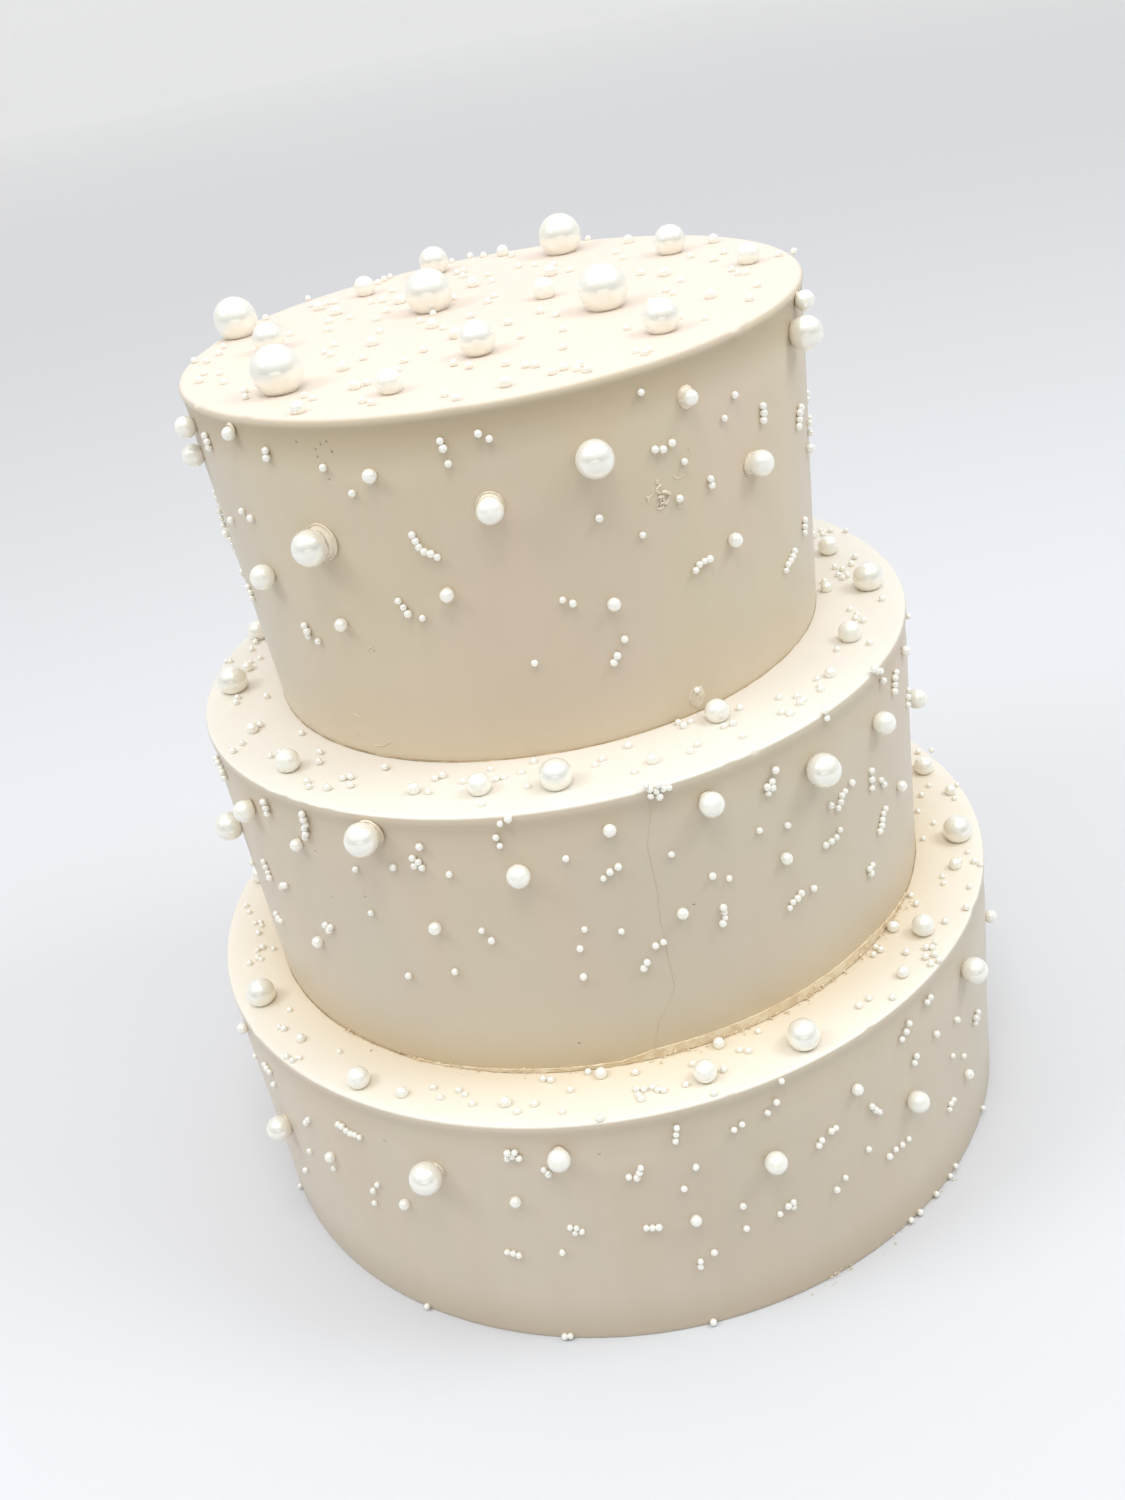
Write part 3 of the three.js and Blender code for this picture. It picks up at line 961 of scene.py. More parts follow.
def stretched_noise(group, entry, detail):
    """A noise on object coordinates, with the group's own scale and stretch."""
    place, stretch = object_place(group), entry["Stretch"]
    stretched = reckon(group, "MULTIPLY", place, stretch, kind="VectorMath")
    inputs = {"Vector": stretched, "Scale": entry["Scale"], "Detail": detail}
    return add_node(group, "TexNoise", inputs)["Fac"]


def mottle_group():
    """Soft patches that shift a colour towards a second one."""
    group, entry, leave = new_group("mottle", "Color", **TINT_INPUTS, Scale=20, Stretch=(1, 1, 1))
    noise = stretched_noise(group, entry, PATCHES_DETAIL)
    return lay_tint(group, entry, leave, fade(group, noise, PATCHES_FROM, PATCHES_FULL))


def grain_group():
    """Fine surface height: an even grain or, stretched, the marks of a scraper."""
    group, entry, leave = new_group("grain", "Height", Scale=600, Stretch=(1, 1, 1))
    group.links.new(stretched_noise(group, entry, GRAIN_DETAIL), leave["Height"])
    return group


def band_group():
    """A tint over a band of heights, full below its start and gone at its end; it paints the light and
    shade at a tier's foot.
    """
    group, entry, leave = new_group("band", "Color", **TINT_INPUTS, Start=0, End=0.01)
    height = part_of(group, object_place(group), "Z")
    return lay_tint(group, entry, leave, fade(group, height, entry["Start"], entry["End"], 1, 0))


def rim_group():
    """A painted shade on the wall under a rim, full a little below it, for a tier's level."""
    group, entry, leave = new_group("rim_shade", "Color", **TINT_INPUTS, Level=0.1)
    height = part_of(group, object_place(group), "Z")
    drop = reckon(group, "SUBTRACT", entry["Level"], height)
    gone = fade(group, drop, RIM_SHADE_FULL * MM, RIM_SHADE_END * MM, 1, 0)
    come = fade(group, drop, RIM_SHADE_TOP * MM, RIM_SHADE_FULL * MM)
    return lay_tint(group, entry, leave, reckon(group, "MULTIPLY", gone, come))


def face_group():
    """The upper face of a tier: its colour from the next tier to its rim, over the wall's. The paler face
    is painted light from above, and the warmer, darker colour by the next tier is painted bounce light
    and shade.
    """
    group, entry, leave = new_group(
        "face", "Color", Wall=WHITE, Near=WHITE, Far=WHITE, Axis=(0, 0, 0),
        Inner=0.1, Outer=0.2, Edge=0.2, Full=0.7,
    )
    place = object_place(group)
    centred = reckon(group, "SUBTRACT", place, entry["Axis"], kind="VectorMath")
    flat = reckon(group, "MULTIPLY", centred, (1, 1, 0), kind="VectorMath")
    reach = reckon(group, "LENGTH", flat, kind="VectorMath", result="Value")
    outer = fade(group, reach, entry["Inner"], entry["Outer"], kind="LINEAR")
    face = blend(group, outer, entry["Near"], entry["Far"])
    upward = part_of(group, add_node(group, "NewGeometry", {})["Normal"], "Z")
    turned = fade(group, upward, entry["Edge"], entry["Full"])
    group.links.new(blend(group, turned, entry["Wall"], face), leave["Color"])
    return group


def new_material(name):
    material = bpy.data.materials.new(name)
    material.use_nodes = True
    return material, material.node_tree, material.node_tree.nodes["Principled BSDF"]


def place_group(tree, group, **inputs):
    """What a shader node group puts out for its inputs."""
    return add_node(tree, "Group", inputs, node_tree=group)[0]


def add_bump(tree, height, strength, depth, **below):
    """The normal of a bump from a height, on top of the normal of another one."""
    inputs = {"Height": height, "Strength": strength, "Distance": depth * MM, **below}
    return add_node(tree, "Bump", inputs)["Normal"]


def colour(red, green, blue):
    """A colour from 0 to 255 values as seen on screen, for a shader socket."""
    def linear(value):
        share = value / 255
        return share / 12.92 if share <= 0.04045 else ((share + 0.055) / 1.055) ** 2.4
    return (linear(red), linear(green), linear(blue), 1)


WHITE = (1, 1, 1, 1)
VECTOR_SOCKETS = {3: "NodeSocketVector", 4: "NodeSocketColor"}
TINT_INPUTS = {"Base": WHITE, "Tint": WHITE, "Amount": 0.5}
PATCHES_FROM = 0.36
PATCHES_FULL = 0.66
PATCHES_DETAIL = 3
GRAIN_DETAIL = 4
ICING = colour(210, 194, 166)
CRUMB_DARK = colour(220, 197, 160)
PEARL = colour(248, 246, 237)
PEARL_CREAM = colour(246, 240, 226)

# For each tier the colour of its wall, of its face by the next tier and by its rim, how far
# its rim turns up before it takes that colour, the tint of the wall's foot, and how strong
# that tint and the shade under the rim are. The face's paler colour is painted light from
# above, and its warmer, darker colour by the next tier is painted bounce light and shade;
# the rim's turn into the paler colour is a painted highlight; the foot's tint is painted
# light bounced off the ledge below, and on the bottom tier painted shade; the shade under
# the rim is painted shade
COATS = {
    "bottom": {
        "wall": colour(214, 200, 180),
        "near": colour(229, 215, 191), "far": colour(235, 228, 215), "turn": (0.2, 0.7),
        "foot": colour(193, 175, 149), "foot_share": 0.6, "rim_share": 0.25,
    },
    "middle": {
        "wall": colour(212, 197, 172),
        "near": colour(228, 219, 206), "far": colour(232, 226, 214), "turn": (0.2, 0.7),
        "foot": colour(208, 187, 153), "foot_share": 0.7, "rim_share": 0.3,
    },
    "top": {
        "wall": ICING,
        "near": colour(226, 209, 193), "far": colour(228, 212, 196), "turn": (0.4, 0.95),
        "foot": colour(224, 206, 178), "foot_share": 0.6, "rim_share": 0.9,
    },
}
# How high the painted light and shade at a wall's foot reach
FOOT_TINT_HEIGHT = 20
# The painted shade under each rim: its colour, and how far below the rim it starts, is full and is gone
RIM_SHADE = colour(184, 166, 136)
RIM_SHADE_TOP = 1.3
RIM_SHADE_FULL = 2.9
RIM_SHADE_END = 17

# Pinkish and greyish patches and faint streaks in the walls: tint, scale, stretch and amount
WALL_PATCHES = [
    (colour(213, 194, 173), 19, (1, 1, 0.45), 0.85),
    (colour(203, 193, 172), 11, (1, 1, 0.5), 0.6),
    (colour(200, 185, 160), 1, (110, 110, 6), 0.12),
]

# Grain of the coats: scale and stretch of the scraper's marks, scale of the pores, and the
# strength and depth of each
MARKS = {"Scale": 1, "Stretch": (260, 260, 9)}
MARKS_RELIEF = (0.12, 0.5)
PORES_SCALE = 900
PORES_RELIEF = (0.08, 0.2)
GANACHE_SURFACE = {
    "Roughness": 0.44,
    "Sheen Weight": 0.12,
    "Sheen Roughness": 0.35,
    "Sheen Tint": colour(226, 238, 255),
}

# The other finishes: colour, patches, their scale and amount, then the scale, strength and
# depth of the grain, where there is one, and the shader's own values
FINISHES = {
    "pressed_icing": (
        colour(232, 220, 200), ICING, 300, 0.6, (1400, 0.3, 0.3), {"Roughness": 0.5},
    ),
    "crumbs": (
        colour(235, 218, 189), CRUMB_DARK, 260, 0.9, (1200, 0.5, 0.4), {"Roughness": 0.8},
    ),
    "glue": (
        colour(234, 220, 198), ICING, 900, 0.7, (1300, 0.5, 0.5),
        {"Roughness": 0.18, "Coat Weight": 0.6, "Coat Roughness": 0.05},
    ),
    "seam": (colour(172, 148, 112), CRUMB_DARK, 200, 0.8, None, {"Roughness": 0.7}),
    "crack": (colour(205, 189, 162), ICING, 200, 0.8, None, {"Roughness": 0.7}),
    "large_pearl": (
        PEARL, PEARL_CREAM, 160, 0.5, (140, 0.02, 0.3),
        {"Metallic": 0.33, "Roughness": 0.2, "Coat Weight": 1, "Coat Roughness": 0.1},
    ),
    "small_pearl": (
        PEARL, PEARL_CREAM, 420, 0.5, (140, 0.02, 0.3),
        {"Metallic": 0.18, "Roughness": 0.26, "Coat Weight": 1, "Coat Roughness": 0.1},
    ),
}
# The floor's colour by the cake and far off; greyer by the cake as painted shade
FLOOR_NEAR = colour(210, 210, 212)
FLOOR_FAR = colour(233, 233, 233)
FLOOR_PATCH = colour(234, 234, 233)
FLOOR_INNER = 0.8
FLOOR_OUTER = 6
FLOOR_SURFACE = {"Roughness": 0.7, "Specular IOR Level": 0.15}


def ganache_material(tier):
    """Matt ganache: beige walls with pinkish and greyish patches, and a paler face, with painted light
    and shade: the paler face, a warm glow at the wall's foot and a shade under the rim.
    """
    coat = COATS[tier["name"]]
    base, level = tier["base"] * MM, tier["level"] * MM
    material, tree, shader = new_material("ganache_" + tier["name"])
    tone = coat["wall"]
    for tint, scale, stretch, amount in WALL_PATCHES:
        tone = place_group(
            tree, MOTTLE, Base=tone, Tint=tint, Scale=scale, Stretch=stretch, Amount=amount
        )
    # Painted light and shade at the wall's foot: on the top tier a paler warm glow of light bounced off
    # the ledge below, on the middle tier a warm bounce that is also darker, and on the bottom tier shade
    tone = place_group(
        tree, BAND, Base=tone, Tint=coat["foot"], Amount=coat["foot_share"],
        Start=base, End=base + FOOT_TINT_HEIGHT * MM,
    )
    # Painted shade under the rim
    tone = place_group(
        tree, RIM, Base=tone, Tint=RIM_SHADE, Amount=coat["rim_share"], Level=level
    )
    # Painted light on the upper face: paler than the wall for the light from above, and by the next tier
    # warmer and darker for bounce light and shade; the rim takes the paler colour as it turns up, a
    # painted highlight
    tone = place_group(
        tree, FACE, Wall=tone, Near=coat["near"], Far=coat["far"], Axis=axis_of(tier) * MM,
        Inner=(tier["above"]["foot_radius"] if tier["above"] else 0) * MM,
        Outer=tier["rim_radius"] * MM, Edge=coat["turn"][0], Full=coat["turn"][1],
    )
    marks = add_bump(tree, place_group(tree, GRAIN, **MARKS), *MARKS_RELIEF)
    pores = place_group(tree, GRAIN, Scale=PORES_SCALE)
    pores = add_bump(tree, pores, *PORES_RELIEF, Normal=marks)
    feed(tree, shader, {"Base Color": tone, "Normal": pores, **GANACHE_SURFACE})
    return material


def patchy_material(name):
    """A finish with soft patches in its colour and a fine grain."""
    base, patch, scale, amount, grain, surface = FINISHES[name]
    material, tree, shader = new_material(name)
    tone = place_group(tree, MOTTLE, Base=base, Tint=patch, Scale=scale, Amount=amount)
    feed(tree, shader, {"Base Color": tone, **surface})
    if grain:
        height = place_group(tree, GRAIN, Scale=grain[0])
        feed(tree, shader, {"Normal": add_bump(tree, height, *grain[1:])})
    return material


def floor_material():
    """A plain pale floor, slightly greyer by the cake than further off: painted shade where the lamps
    light it most.
    """
    material, tree, shader = new_material("floor")
    far = place_group(tree, MOTTLE, Base=FLOOR_FAR, Tint=FLOOR_PATCH, Scale=2, Amount=1)
    tone = place_group(
        tree, FACE, Wall=FLOOR_FAR, Near=FLOOR_NEAR, Far=far, Inner=FLOOR_INNER, Outer=FLOOR_OUTER
    )
    feed(tree, shader, {"Base Color": tone, **FLOOR_SURFACE})
    return material


# Icing


def around(tier, angle, height, proud=0):
    """A place on a tier's wall, or proud of it, in metres."""
    reach = wall_radius(tier, height) + proud
    return (axis_of(tier) + outward(angle) * reach + UP * (tier["base"] + height)) * MM


def nudge(obj, place, push, size):
    """Pulls the surface near a place by a push, with a soft edge of a given size."""
    points = obj.data.vertices
    nearest = min((p.co for p in points), key=lambda co: (co - place).length_squared).copy()
    pick(obj, "VERT", lambda co: co == nearest)
    bpy.ops.transform.translate(
        value=push,
        use_proportional_edit=True,
        proportional_size=size,
        proportional_edit_falloff="SMOOTH",
    )
    end_edit()


def prick(obj, place):
    """Makes a pinhole in the face nearest to a place."""
    nearest = min(obj.data.polygons, key=lambda face: (face.center - place).length_squared).index
    pick(obj, "FACE", lambda face: face.index == nearest)
    bpy.ops.mesh.inset(thickness=PINHOLE_EDGE * MM)
    bpy.ops.transform.resize(value=(1, 1, PINHOLE_SQUASH), center_override=place)
    bpy.ops.mesh.inset(thickness=PINHOLE_WALL * MM, depth=-PINHOLE_DEPTH * MM)
    end_edit()


def model_icing(tier):
    """The ganache coat of a tier: a cylinder flared, rounded at rim and foot, and uneven."""
    height, foot_z, top_z = (tier[size] * MM for size in ("height", "base", "level"))
    axis = axis_of(tier) * MM
    icing = add_mesh(
        "icing_" + tier["name"],
        bpy.ops.mesh.primitive_cylinder_add,
        vertices=ICING_SIDES,
        radius=tier["foot_radius"] * MM,
        depth=height,
        location=axis + UP * (foot_z + height / 2),
    )
    apply_all(icing)

    flare = tier["rim_radius"] / tier["foot_radius"]
    resize(icing, lambda co: co.z > top_z - HAIR, flare, 1, axis + UP * top_z)
    rim_round = RIM_ROUNDS[tier["name"]]
    pick(icing, "EDGE", lambda a, b: min(a.z, b.z) > top_z - HAIR)
    bpy.ops.mesh.bevel(offset=rim_round * MM, segments=RIM_STEPS, affect="EDGES")
    pick(icing, "EDGE", lambda a, b: max(a.z, b.z) < foot_z + HAIR)
    bpy.ops.mesh.bevel(offset=FOOT_ROUND * MM, segments=2, affect="EDGES")
    pick(icing, "EDGE", lambda a, b: abs(a.z - b.z) > height / 2)
    bpy.ops.mesh.subdivide(number_cuts=WALL_RINGS)

    pick(icing, "FACE", lambda face: face.normal.z > LEVEL_ENOUGH and len(face.vertices) > 4)
    inner = tier["rim_radius"] - rim_round
    covered = tier["above"]["foot_radius"] - COVERED_MARGIN if tier["above"] else 0
    while inner > INNERMOST_RING:
        step = LEDGE_STEP if inner > covered else COVERED_STEP
        bpy.ops.mesh.inset(thickness=step * MM)
        inner -= step
    bpy.ops.mesh.poke()
    end_edit()

    for drop, pull in UNDER_RIM:
        level = top_z - drop * MM
        share = 1 - pull / tier["rim_radius"]
        resize(icing, lambda co: abs(co.z - level) < UNDER_RIM_REACH * MM, share, 1, axis)

    relief = icing.vertex_groups.new(name="relief")
    clear_of_foot = [p.index for p in icing.data.vertices if p.co.z > foot_z + STILL_FOOT * MM]
    relief.add(clear_of_foot, 1, "REPLACE")
    for name, size, depth in ICING_RELIEF:
        add_relief(icing, name + tier["name"], size, depth, "relief")
    apply_all(icing)
    bpy.ops.object.shade_smooth_by_angle(angle=SMOOTH["icing"])
    return icing


def mark_icing(icing, tier):
    """The knocks and pinholes that a tier shows."""
    for angle, drop, out, rise, size in KNOCKS[tier["name"]]:
        place = around(tier, angle, tier["height"] - drop)
        nudge(icing, place, (outward(angle) * out + UP * rise) * MM, size * MM)
    for angle, height in PINHOLES[tier["name"]]:
        prick(icing, around(tier, angle, height))


def model_foot_line(name, tier, proud, thick, rough, seed):
    """A thin, broken bead of icing squeezed out round the foot of a tier."""
    line = add_mesh(
        name,
        bpy.ops.mesh.primitive_torus_add,
        major_radius=(tier["foot_radius"] + proud) * MM,
        minor_radius=thick * MM,
        major_segments=LINE_SIDES,
        minor_segments=LINE_FACETS,
        location=(axis_of(tier) + UP * (tier["base"] + thick * LINE_LIFT)) * MM,
    )
    shake(line, rough * MM, seed)
    apply_all(line)
    add_relief(line, name, LINE_BUMPS, thick * LINE_BUMP_SHARE)
    apply_all(line)
    bpy.ops.object.shade_smooth()
    return line


def model_foot_band(tier):
    """The crumbling lower edge of the coat, where it has come off the tier's foot."""
    axis = axis_of(tier) * MM
    foot = UP * (tier["base"] + BAND_LIFT) * MM
    reach = (tier["foot_radius"] + BAND_PROUD) * MM
    middle = outward((BAND_FROM + BAND_TO) / 2)
    band = add_mesh(
        "foot_band",
        bpy.ops.mesh.primitive_circle_add,
        vertices=BAND_SIDES,
        radius=reach,
        location=axis + foot,
    )
    apply_all(band)

    def outside(width):
        """A test for the points outside a width in degrees about the band's middle."""
        least = math.cos(math.radians(width) / 2)
        return lambda co: (Vector((co.x, co.y, 0)) - axis).normalized().dot(middle) < least

    pick(band, "VERT", outside(BAND_TO - BAND_FROM))
    bpy.ops.mesh.delete(type="VERT")
    start_edit("EDGE")
    for _ in range(BAND_STEPS):
        bpy.ops.mesh.extrude_edges_move(
            TRANSFORM_OT_translate={"value": (0, 0, BAND_HEIGHT * MM / BAND_STEPS)}
        )
    end_edit()
    share = BAND_LOW_SHARE ** (1 / BAND_LOW_STEPS)
    for step in range(BAND_LOW_STEPS):
        edge = axis.x + math.sin(math.radians(BAND_LOW_TO - step)) * reach
        resize(band, lambda co: co.x < edge, 1, share, foot)
    for step in range(1, BAND_END_STEPS + 1):
        width = BAND_TO - BAND_FROM - step * BAND_END_STEP
        resize(band, outside(width), 1, BAND_END_SHARE, foot)
    shake(band, BAND_ROUGH * MM, 11)
    add_relief(band, "band", *BAND_RELIEF)
    wall = band.modifiers.new("wall", "SOLIDIFY")
    wall.thickness = BAND_THICK * MM
    wall.offset = 0
    apply_all(band)
    face_outwards(band)
    bpy.ops.object.shade_smooth_by_angle(angle=SMOOTH["band"])
    return band


# Pearls, collars and crumbs


def model_ball(name, subdivisions, dents, depth, draw):
    """A sugar ball of diameter 1, pulled slightly out of round by a few soft pushes."""
    ball = add_mesh(
        name, bpy.ops.mesh.primitive_ico_sphere_add, subdivisions=subdivisions, radius=0.5
    )
    for _ in range(dents):
        turn = draw() * 2 * math.pi
        rise = 2 * draw() - 1
        level = math.sqrt(1 - rise * rise)
        spot = Vector((level * math.cos(turn), level * math.sin(turn), rise)) / 2
        nudge(ball, spot, -spot.normalized() * depth * (draw() - DENT_OUTWARD), DENT_REACH)
    bpy.ops.object.shade_smooth()
    return ball


def model_collar(seed):
    """A ragged ring of icing round the foot of a pearl of radius 1, standing on the wall."""
    outer, low = COLLAR_RINGS[0]
    inner = COLLAR_RINGS[-1][0]
    collar = add_mesh(
        "collar", bpy.ops.mesh.primitive_circle_add, vertices=COLLAR_SIDES, radius=outer
    )
    start_edit("EDGE")
    bpy.ops.transform.translate(value=(0, 0, low))
    for (old_reach, old_rise), (reach, rise) in zip(COLLAR_RINGS, COLLAR_RINGS[1:]):
        bpy.ops.mesh.extrude_edges_move(TRANSFORM_OT_translate={"value": (0, 0, rise - old_rise)})
        share = reach / old_reach
        bpy.ops.transform.resize(value=(share, share, 1), center_override=(0, 0, 0))
    end_edit()

    def on_edge(co):
        reach = math.hypot(co.x, co.y)
        at_rim = reach < inner + COLLAR_HAIR or reach > outer - COLLAR_HAIR
        return at_rim and co.z < low + COLLAR_HAIR

    def in_rim(a, b):
        return on_edge(a) and on_edge(b) and (a - b).length < COLLAR_FACET

    pick(collar, "EDGE", in_rim)
    bpy.ops.mesh.bridge_edge_loops()
    end_edit()
    shake(collar, COLLAR_ROUGH, seed)
    face_outwards(collar)
    smooth(collar)
    apply_all(collar)
    bpy.ops.object.shade_smooth_by_angle(angle=SMOOTH["collar"])
    return collar


def model_crumb(seed):
    """A crumb of size 1."""
    crumb = add_mesh("crumb", bpy.ops.mesh.primitive_ico_sphere_add, subdivisions=1, radius=0.5)
    shake(crumb, CRUMB_ROUGH, seed)
    return crumb


def model_thread(name, tier, thick, marks, draw):
    """A thread that runs over the coat through marks given as angles and heights."""
    spots = []
    for first, second in zip(marks, marks[1:]):
        start, end = around(tier, *first), around(tier, *second)
        steps = max(1, round((end - start).length / (THREAD_STEP * MM)))
        for step in range(steps):
            wander = Vector((draw() - 0.5, 0, draw() - 0.5)) * THREAD_WANDER * 2 * MM
            spots.append(start.lerp(end, step / steps) + wander)
    spots.append(around(tier, *marks[-1]))
    spots = [coats[tier["name"]].closest_point_on_mesh(spot)[1] / MM for spot in spots]
    spots = [spot + (spot - axis_of(tier)).xy.to_3d().normalized() * thick / 2 for spot in spots]

    thread = add_mesh(name, bpy.ops.mesh.primitive_plane_add, size=1)
    start_edit("VERT")
    bpy.ops.mesh.merge(type="CENTER")
    bpy.ops.transform.translate(value=spots[0])
    for old, new in zip(spots, spots[1:]):
        bpy.ops.mesh.extrude_vertices_move(TRANSFORM_OT_translate={"value": new - old})
    end_edit()
    bpy.ops.object.modifier_add(type="SKIN")
    for point in thread.data.skin_vertices[0].data:
        size = thick * (THREAD_LEAST + THREAD_MORE * draw())
        point.radius = (size, size)
    smooth(thread)
    apply_all(thread)
    thread.scale = (MM, MM, MM)
    apply_all(thread)
    bpy.ops.object.shade_smooth()
    return thread


def model_glue(name, tier, angle, height, *sizes):
    """A dried drop of glue on the wall: a low dome, slightly slumped."""
    drop = add_mesh(
        name, bpy.ops.mesh.primitive_uv_sphere_add, segments=32, ring_count=20, radius=0.5
    )
    resize(drop, lambda co: co.z < -GLUE_DOME, 0.9, 0.4, (0, 0, -GLUE_DOME))
    for place, push, size in GLUE_SLUMPS:
        nudge(drop, Vector(place), Vector(push), size)
    upright = UP.rotation_difference(outward(angle))
    up_wall = upright.inverted() @ UP
    spin = Vector((0, 1, 0)).rotation_difference(up_wall)
    turned = upright @ spin
    drop.matrix_world = Matrix.LocRotScale(around(tier, angle, height), turned, Vector(sizes) * MM)
    apply_all(drop)
    bpy.ops.object.shade_smooth()
    return drop


def pearl_matrix(pearl, index, raised=0):
    """Places a ball of diameter 1 as a pearl, its own up turned out of the icing."""
    size = pearl["diameter"] * PEARL_SWELL * MM
    upright = UP.rotation_difference(pearl["out"])
    spun = Quaternion(UP, math.radians(index * PEARL_SPIN))
    centre = (pearl["centre"] + pearl["out"] * raised) * MM
    return Matrix.LocRotScale(centre, upright @ spun, Vector((size, size, size)))


def find_collar(pearl, index):
    """The size of a pearl's collar, and how far it leans to the right and upwards."""
    tier = pearl["tier"]
    for name, angle, height, share, lean, rise in LARGE_COLLARS:
        spot = around(tier, angle, height) / MM
        if name == tier["name"] and (spot - pearl["centre"]).length < pearl["diameter"] * COLLAR_NEAR:
            return share, lean, rise
    return [values[index % len(values)] for values in (COLLAR_SIZES, COLLAR_LEANS, COLLAR_RISES)]


def collar_matrix(pearl, index):
    """Sets a collar on the wall behind a side pearl, mostly above it, as it was pressed on."""
    radius = pearl["diameter"] / 2
    out = pearl["out"]
    right = UP.cross(out).normalized()
    share, lean, rise = find_collar(pearl, index)
    shift = (UP * rise + right * lean) * radius
    centre = (pearl["centre"] - out * stands_off(pearl["diameter"]) + shift) * MM
    turned = UP.rotation_difference(out) @ Quaternion(UP, math.radians(index * COLLAR_SPIN))
    size = radius * share * MM
    return Matrix.LocRotScale(centre, turned, Vector((size, size, radius * MM)))


def crumb_matrix(crumb, index):
    """Places a crumb of its own size, turned any way."""
    turned = Quaternion((1, 0.4, 0.2), index * 1.7) @ Quaternion(UP, index * 2.9)
    return Matrix.LocRotScale(crumb["place"], turned, Vector(CRUMB_FORM) * crumb["size"] * MM)


def foot_crumbs(tier, first, last, count, draw):
    """Crumbs along the foot of a tier, between two angles, some of them on the ledge."""
    crumbs = []
    for _ in range(count):
        angle = first + (last - first) * draw()
        size = CRUMB_LEAST + CRUMB_MORE * draw() ** 2
        place = around(tier, angle, size * 0.7 + CRUMB_HIGH * draw() ** 2, 0.5 + 0.5 * draw())
        if draw() > CRUMBS_ON_WALL:
            place = around(tier, angle, size * 0.6, 0.6 + CRUMB_FAR * draw() ** 2)
        crumbs.append({"place": place, "size": size})
    return crumbs


def dress(piece, material):
    piece.data.materials.clear()
    piece.data.materials.append(material)
    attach(piece, "root")


stack_tiers()
bottom, middle, top = TIERS
plans = plan_cake()
all_pearls = [pearl for tier in TIERS for pearl in plans[tier["name"]]]
MOTTLE = mottle_group()
GRAIN = grain_group()
BAND = band_group()
RIM = rim_group()
FACE = face_group()
finishes = {name: patchy_material(name) for name in FINISHES}

coats = {}
for tier in TIERS:
    icing = model_icing(tier)
    mark_icing(icing, tier)
    dress(icing, ganache_material(tier))
    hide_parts("tier_" + tier["name"])
    coats[tier["name"]] = icing

# The seams at the feet
foot_band = model_foot_band(middle)
dress(foot_band, finishes["crumbs"])
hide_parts("tier_middle")
for tier, *form in ((middle, 0.1, 0.2, 0.06, 3), (top, 0, 0.18, 0.05, 4)):
    line = model_foot_line(tier["name"] + "_foot_line", tier, *form)
    dress(line, finishes["seam"])
    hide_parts("tier_" + tier["name"])

# Pearls
shape_draw = make_draw(77)
balls = {
    name: [model_ball(name + "_ball", *form, shape_draw) for _ in range(3)]
    for name, *form in BALLS
}
for index, pearl in enumerate(p for p in all_pearls if "node" in p):
    piece = join_copies(
        "sugar_" + pearl["node"], balls["large"], [pearl], lambda p, _: pearl_matrix(p, index)
    )
    dress(piece, finishes["large_pearl"])
    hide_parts(pearl["node"])

for name, least, most, raised in LOOSE:
    sized = [p for p in all_pearls if "node" not in p and least < p["diameter"] <= most]
    piece = join_copies(
        name + "_pearls", balls[name], sized, lambda p, i: pearl_matrix(p, i, raised)
    )
    dress(piece, finishes["small_pearl"])
    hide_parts("tier_bottom", "tier_middle", "tier_top")

# Collars round the pearls that are stuck to the sides
collars = [model_collar(seed) for seed in (1, 2, 3)]
on_sides = [p for p in all_pearls if p["face"] == "side" and p["diameter"] > COLLARED_FROM]
collar_piece = join_copies("pearl_collars", collars, on_sides, collar_matrix)
dress(collar_piece, finishes["pressed_icing"])
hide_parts("tier_bottom", "tier_middle", "tier_top")

# The torn spot, the scratches, the hair crack and the drops of glue
thread_draw = make_draw(19)
threads = [
    [thick] + [seen_on_side(top, crop, x, y, 0) for x, y in places]
    for crop, rows in SHREDS_SEEN.items()
    for thick, *places in rows
]
shreds = [
    model_thread("shred", top, thick, marks, thread_draw) for thick, *marks in threads + SHREDS
]
shred_piece = join_pieces("torn_shreds", shreds)
dress(shred_piece, finishes["pressed_icing"])
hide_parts("tier_top")
crack_marks = [seen_on_side(middle, "whole photograph", x, y, 0) for x, y in CRACK_SEEN]
crack = model_thread("hair_crack", middle, CRACK_THICK, [CRACK_START] + crack_marks, thread_draw)
dress(crack, finishes["crack"])
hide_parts("tier_middle")
for index, form in enumerate(GLUE_DROPS, 1):
    drop = model_glue("glue_drop_%d" % index, top, *form)
    dress(drop, finishes["glue"])
    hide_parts("tier_top")

# Crumbs at the feet
crumb_draw = make_draw(31)
crumb_models = [model_crumb(seed) for seed in (1, 2, 3)]
crumbs = foot_crumbs(middle, BAND_LOW_TO, BAND_TO, 150, crumb_draw)
crumbs += foot_crumbs(middle, -50, BAND_LOW_TO, 40, crumb_draw)
crumbs += foot_crumbs(bottom, 15, 50, 40, crumb_draw)
crumb_piece = join_copies("foot_crumbs", crumb_models, crumbs, crumb_matrix)
dress(crumb_piece, finishes["crumbs"])
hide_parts("tier_bottom", "tier_middle")

for model in sum(balls.values(), collars + crumb_models):
    remove(model)

# Floor, light and camera

floor = add_mesh(
    "floor", bpy.ops.mesh.primitive_circle_add, vertices=128, radius=40, fill_type="NGON"
)
floor.data.materials.append(floor_material())


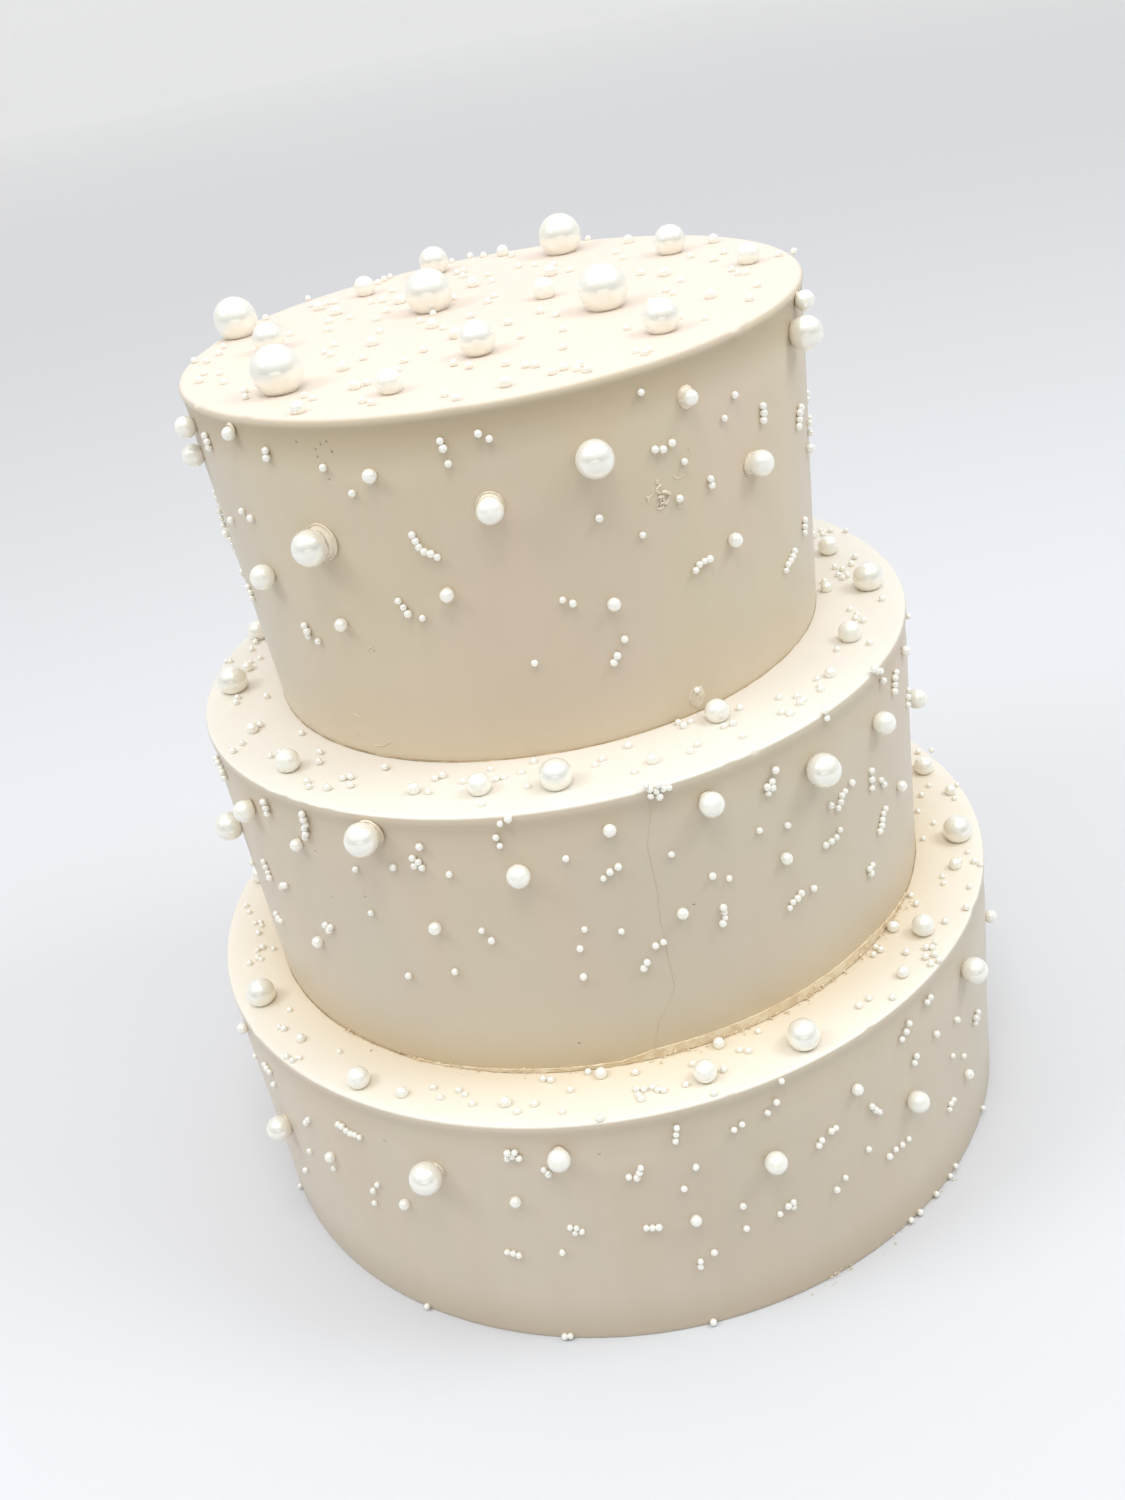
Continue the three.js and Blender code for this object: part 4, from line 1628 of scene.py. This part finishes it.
def studio_room():
    """A pale room: a bright ceiling and back, and a dim front that the pearls mirror."""
    world = bpy.data.worlds.new("studio")
    bpy.context.scene.world = world
    world.use_nodes = True
    tree = world.node_tree
    direction = add_node(tree, "TexCoord", {})["Generated"]
    back = fade(tree, part_of(tree, direction, "Y"), -1, 1, kind="LINEAR")
    up = fade(tree, part_of(tree, direction, "Z"), CEILING_FROM, CEILING_FULL, kind="LINEAR")
    room = blend(tree, up, blend(tree, back, ROOM_FRONT, ROOM_BACK), ROOM_CEILING)
    seen = add_node(tree, "LightPath", {})["Is Camera Ray"]
    feed(tree, tree.nodes["Background"], {"Color": blend(tree, seen, room, BACKDROP)})


def add_lamp(name, kind, place, power, tint, **form):
    """A light that faces the cake, and that the camera doesn't see."""
    light = bpy.data.lights.new(name, kind)
    light.energy = power
    light.color = tint
    for label, value in form.items():
        setattr(light, label, value)
    lamp = bpy.data.objects.new(name, light)
    bpy.context.collection.objects.link(lamp)
    lamp.location = place
    lamp.rotation_euler = (LIT_POINT - Vector(place)).to_track_quat("-Z", "Y").to_euler()
    lamp.visible_camera = False


def aim_camera():
    right, up, back = camera_axes()
    camera = bpy.data.objects.new("camera", bpy.data.cameras.new("camera"))
    bpy.context.collection.objects.link(camera)
    camera.data.sensor_width = SENSOR
    camera.data.lens = LENS
    camera.data.clip_start = 0.01
    axes = Matrix((right, up, back)).transposed()
    camera.matrix_world = Matrix.Translation(Vector(CAMERA_PLACE) * MM) @ axes.to_4x4()
    bpy.context.scene.camera = camera


LIT_POINT = Vector((0, 0, 0.15))
BACKDROP = (0.79, 0.795, 0.795, 1)
ROOM_FRONT = (0.15, 0.17, 0.14, 1)
ROOM_BACK = (0.84, 0.845, 0.85, 1)
ROOM_CEILING = (0.71, 0.715, 0.73, 1)
CEILING_FROM = 0.25
CEILING_FULL = 0.6
DAYLIGHT = (0.82, 0.92, 1)
studio_room()
add_lamp("ceiling", "SUN", (0, 0, 3), 0.9, (1, 0.995, 0.98), angle=math.radians(90))
add_lamp("left_softbox", "AREA", (-0.95, -0.3, 1.25), 5.5, DAYLIGHT, shape="DISK", size=0.6)
add_lamp("right_softbox", "AREA", (0.95, -0.25, 1.25), 6.7, DAYLIGHT, shape="DISK", size=0.6)
add_lamp(
    "skylight", "AREA", (0, -0.55, 1.4), 4, (1, 0.98, 0.95), shape="RECTANGLE", size=0.5, size_y=0.3
)
add_lamp(
    "window", "AREA", (-0.1, -1.2, 0.38), 0.6, (1, 1, 1), shape="RECTANGLE", size=1, size_y=0.22
)
aim_camera()
bpy.context.scene.view_settings.view_transform = "Standard"
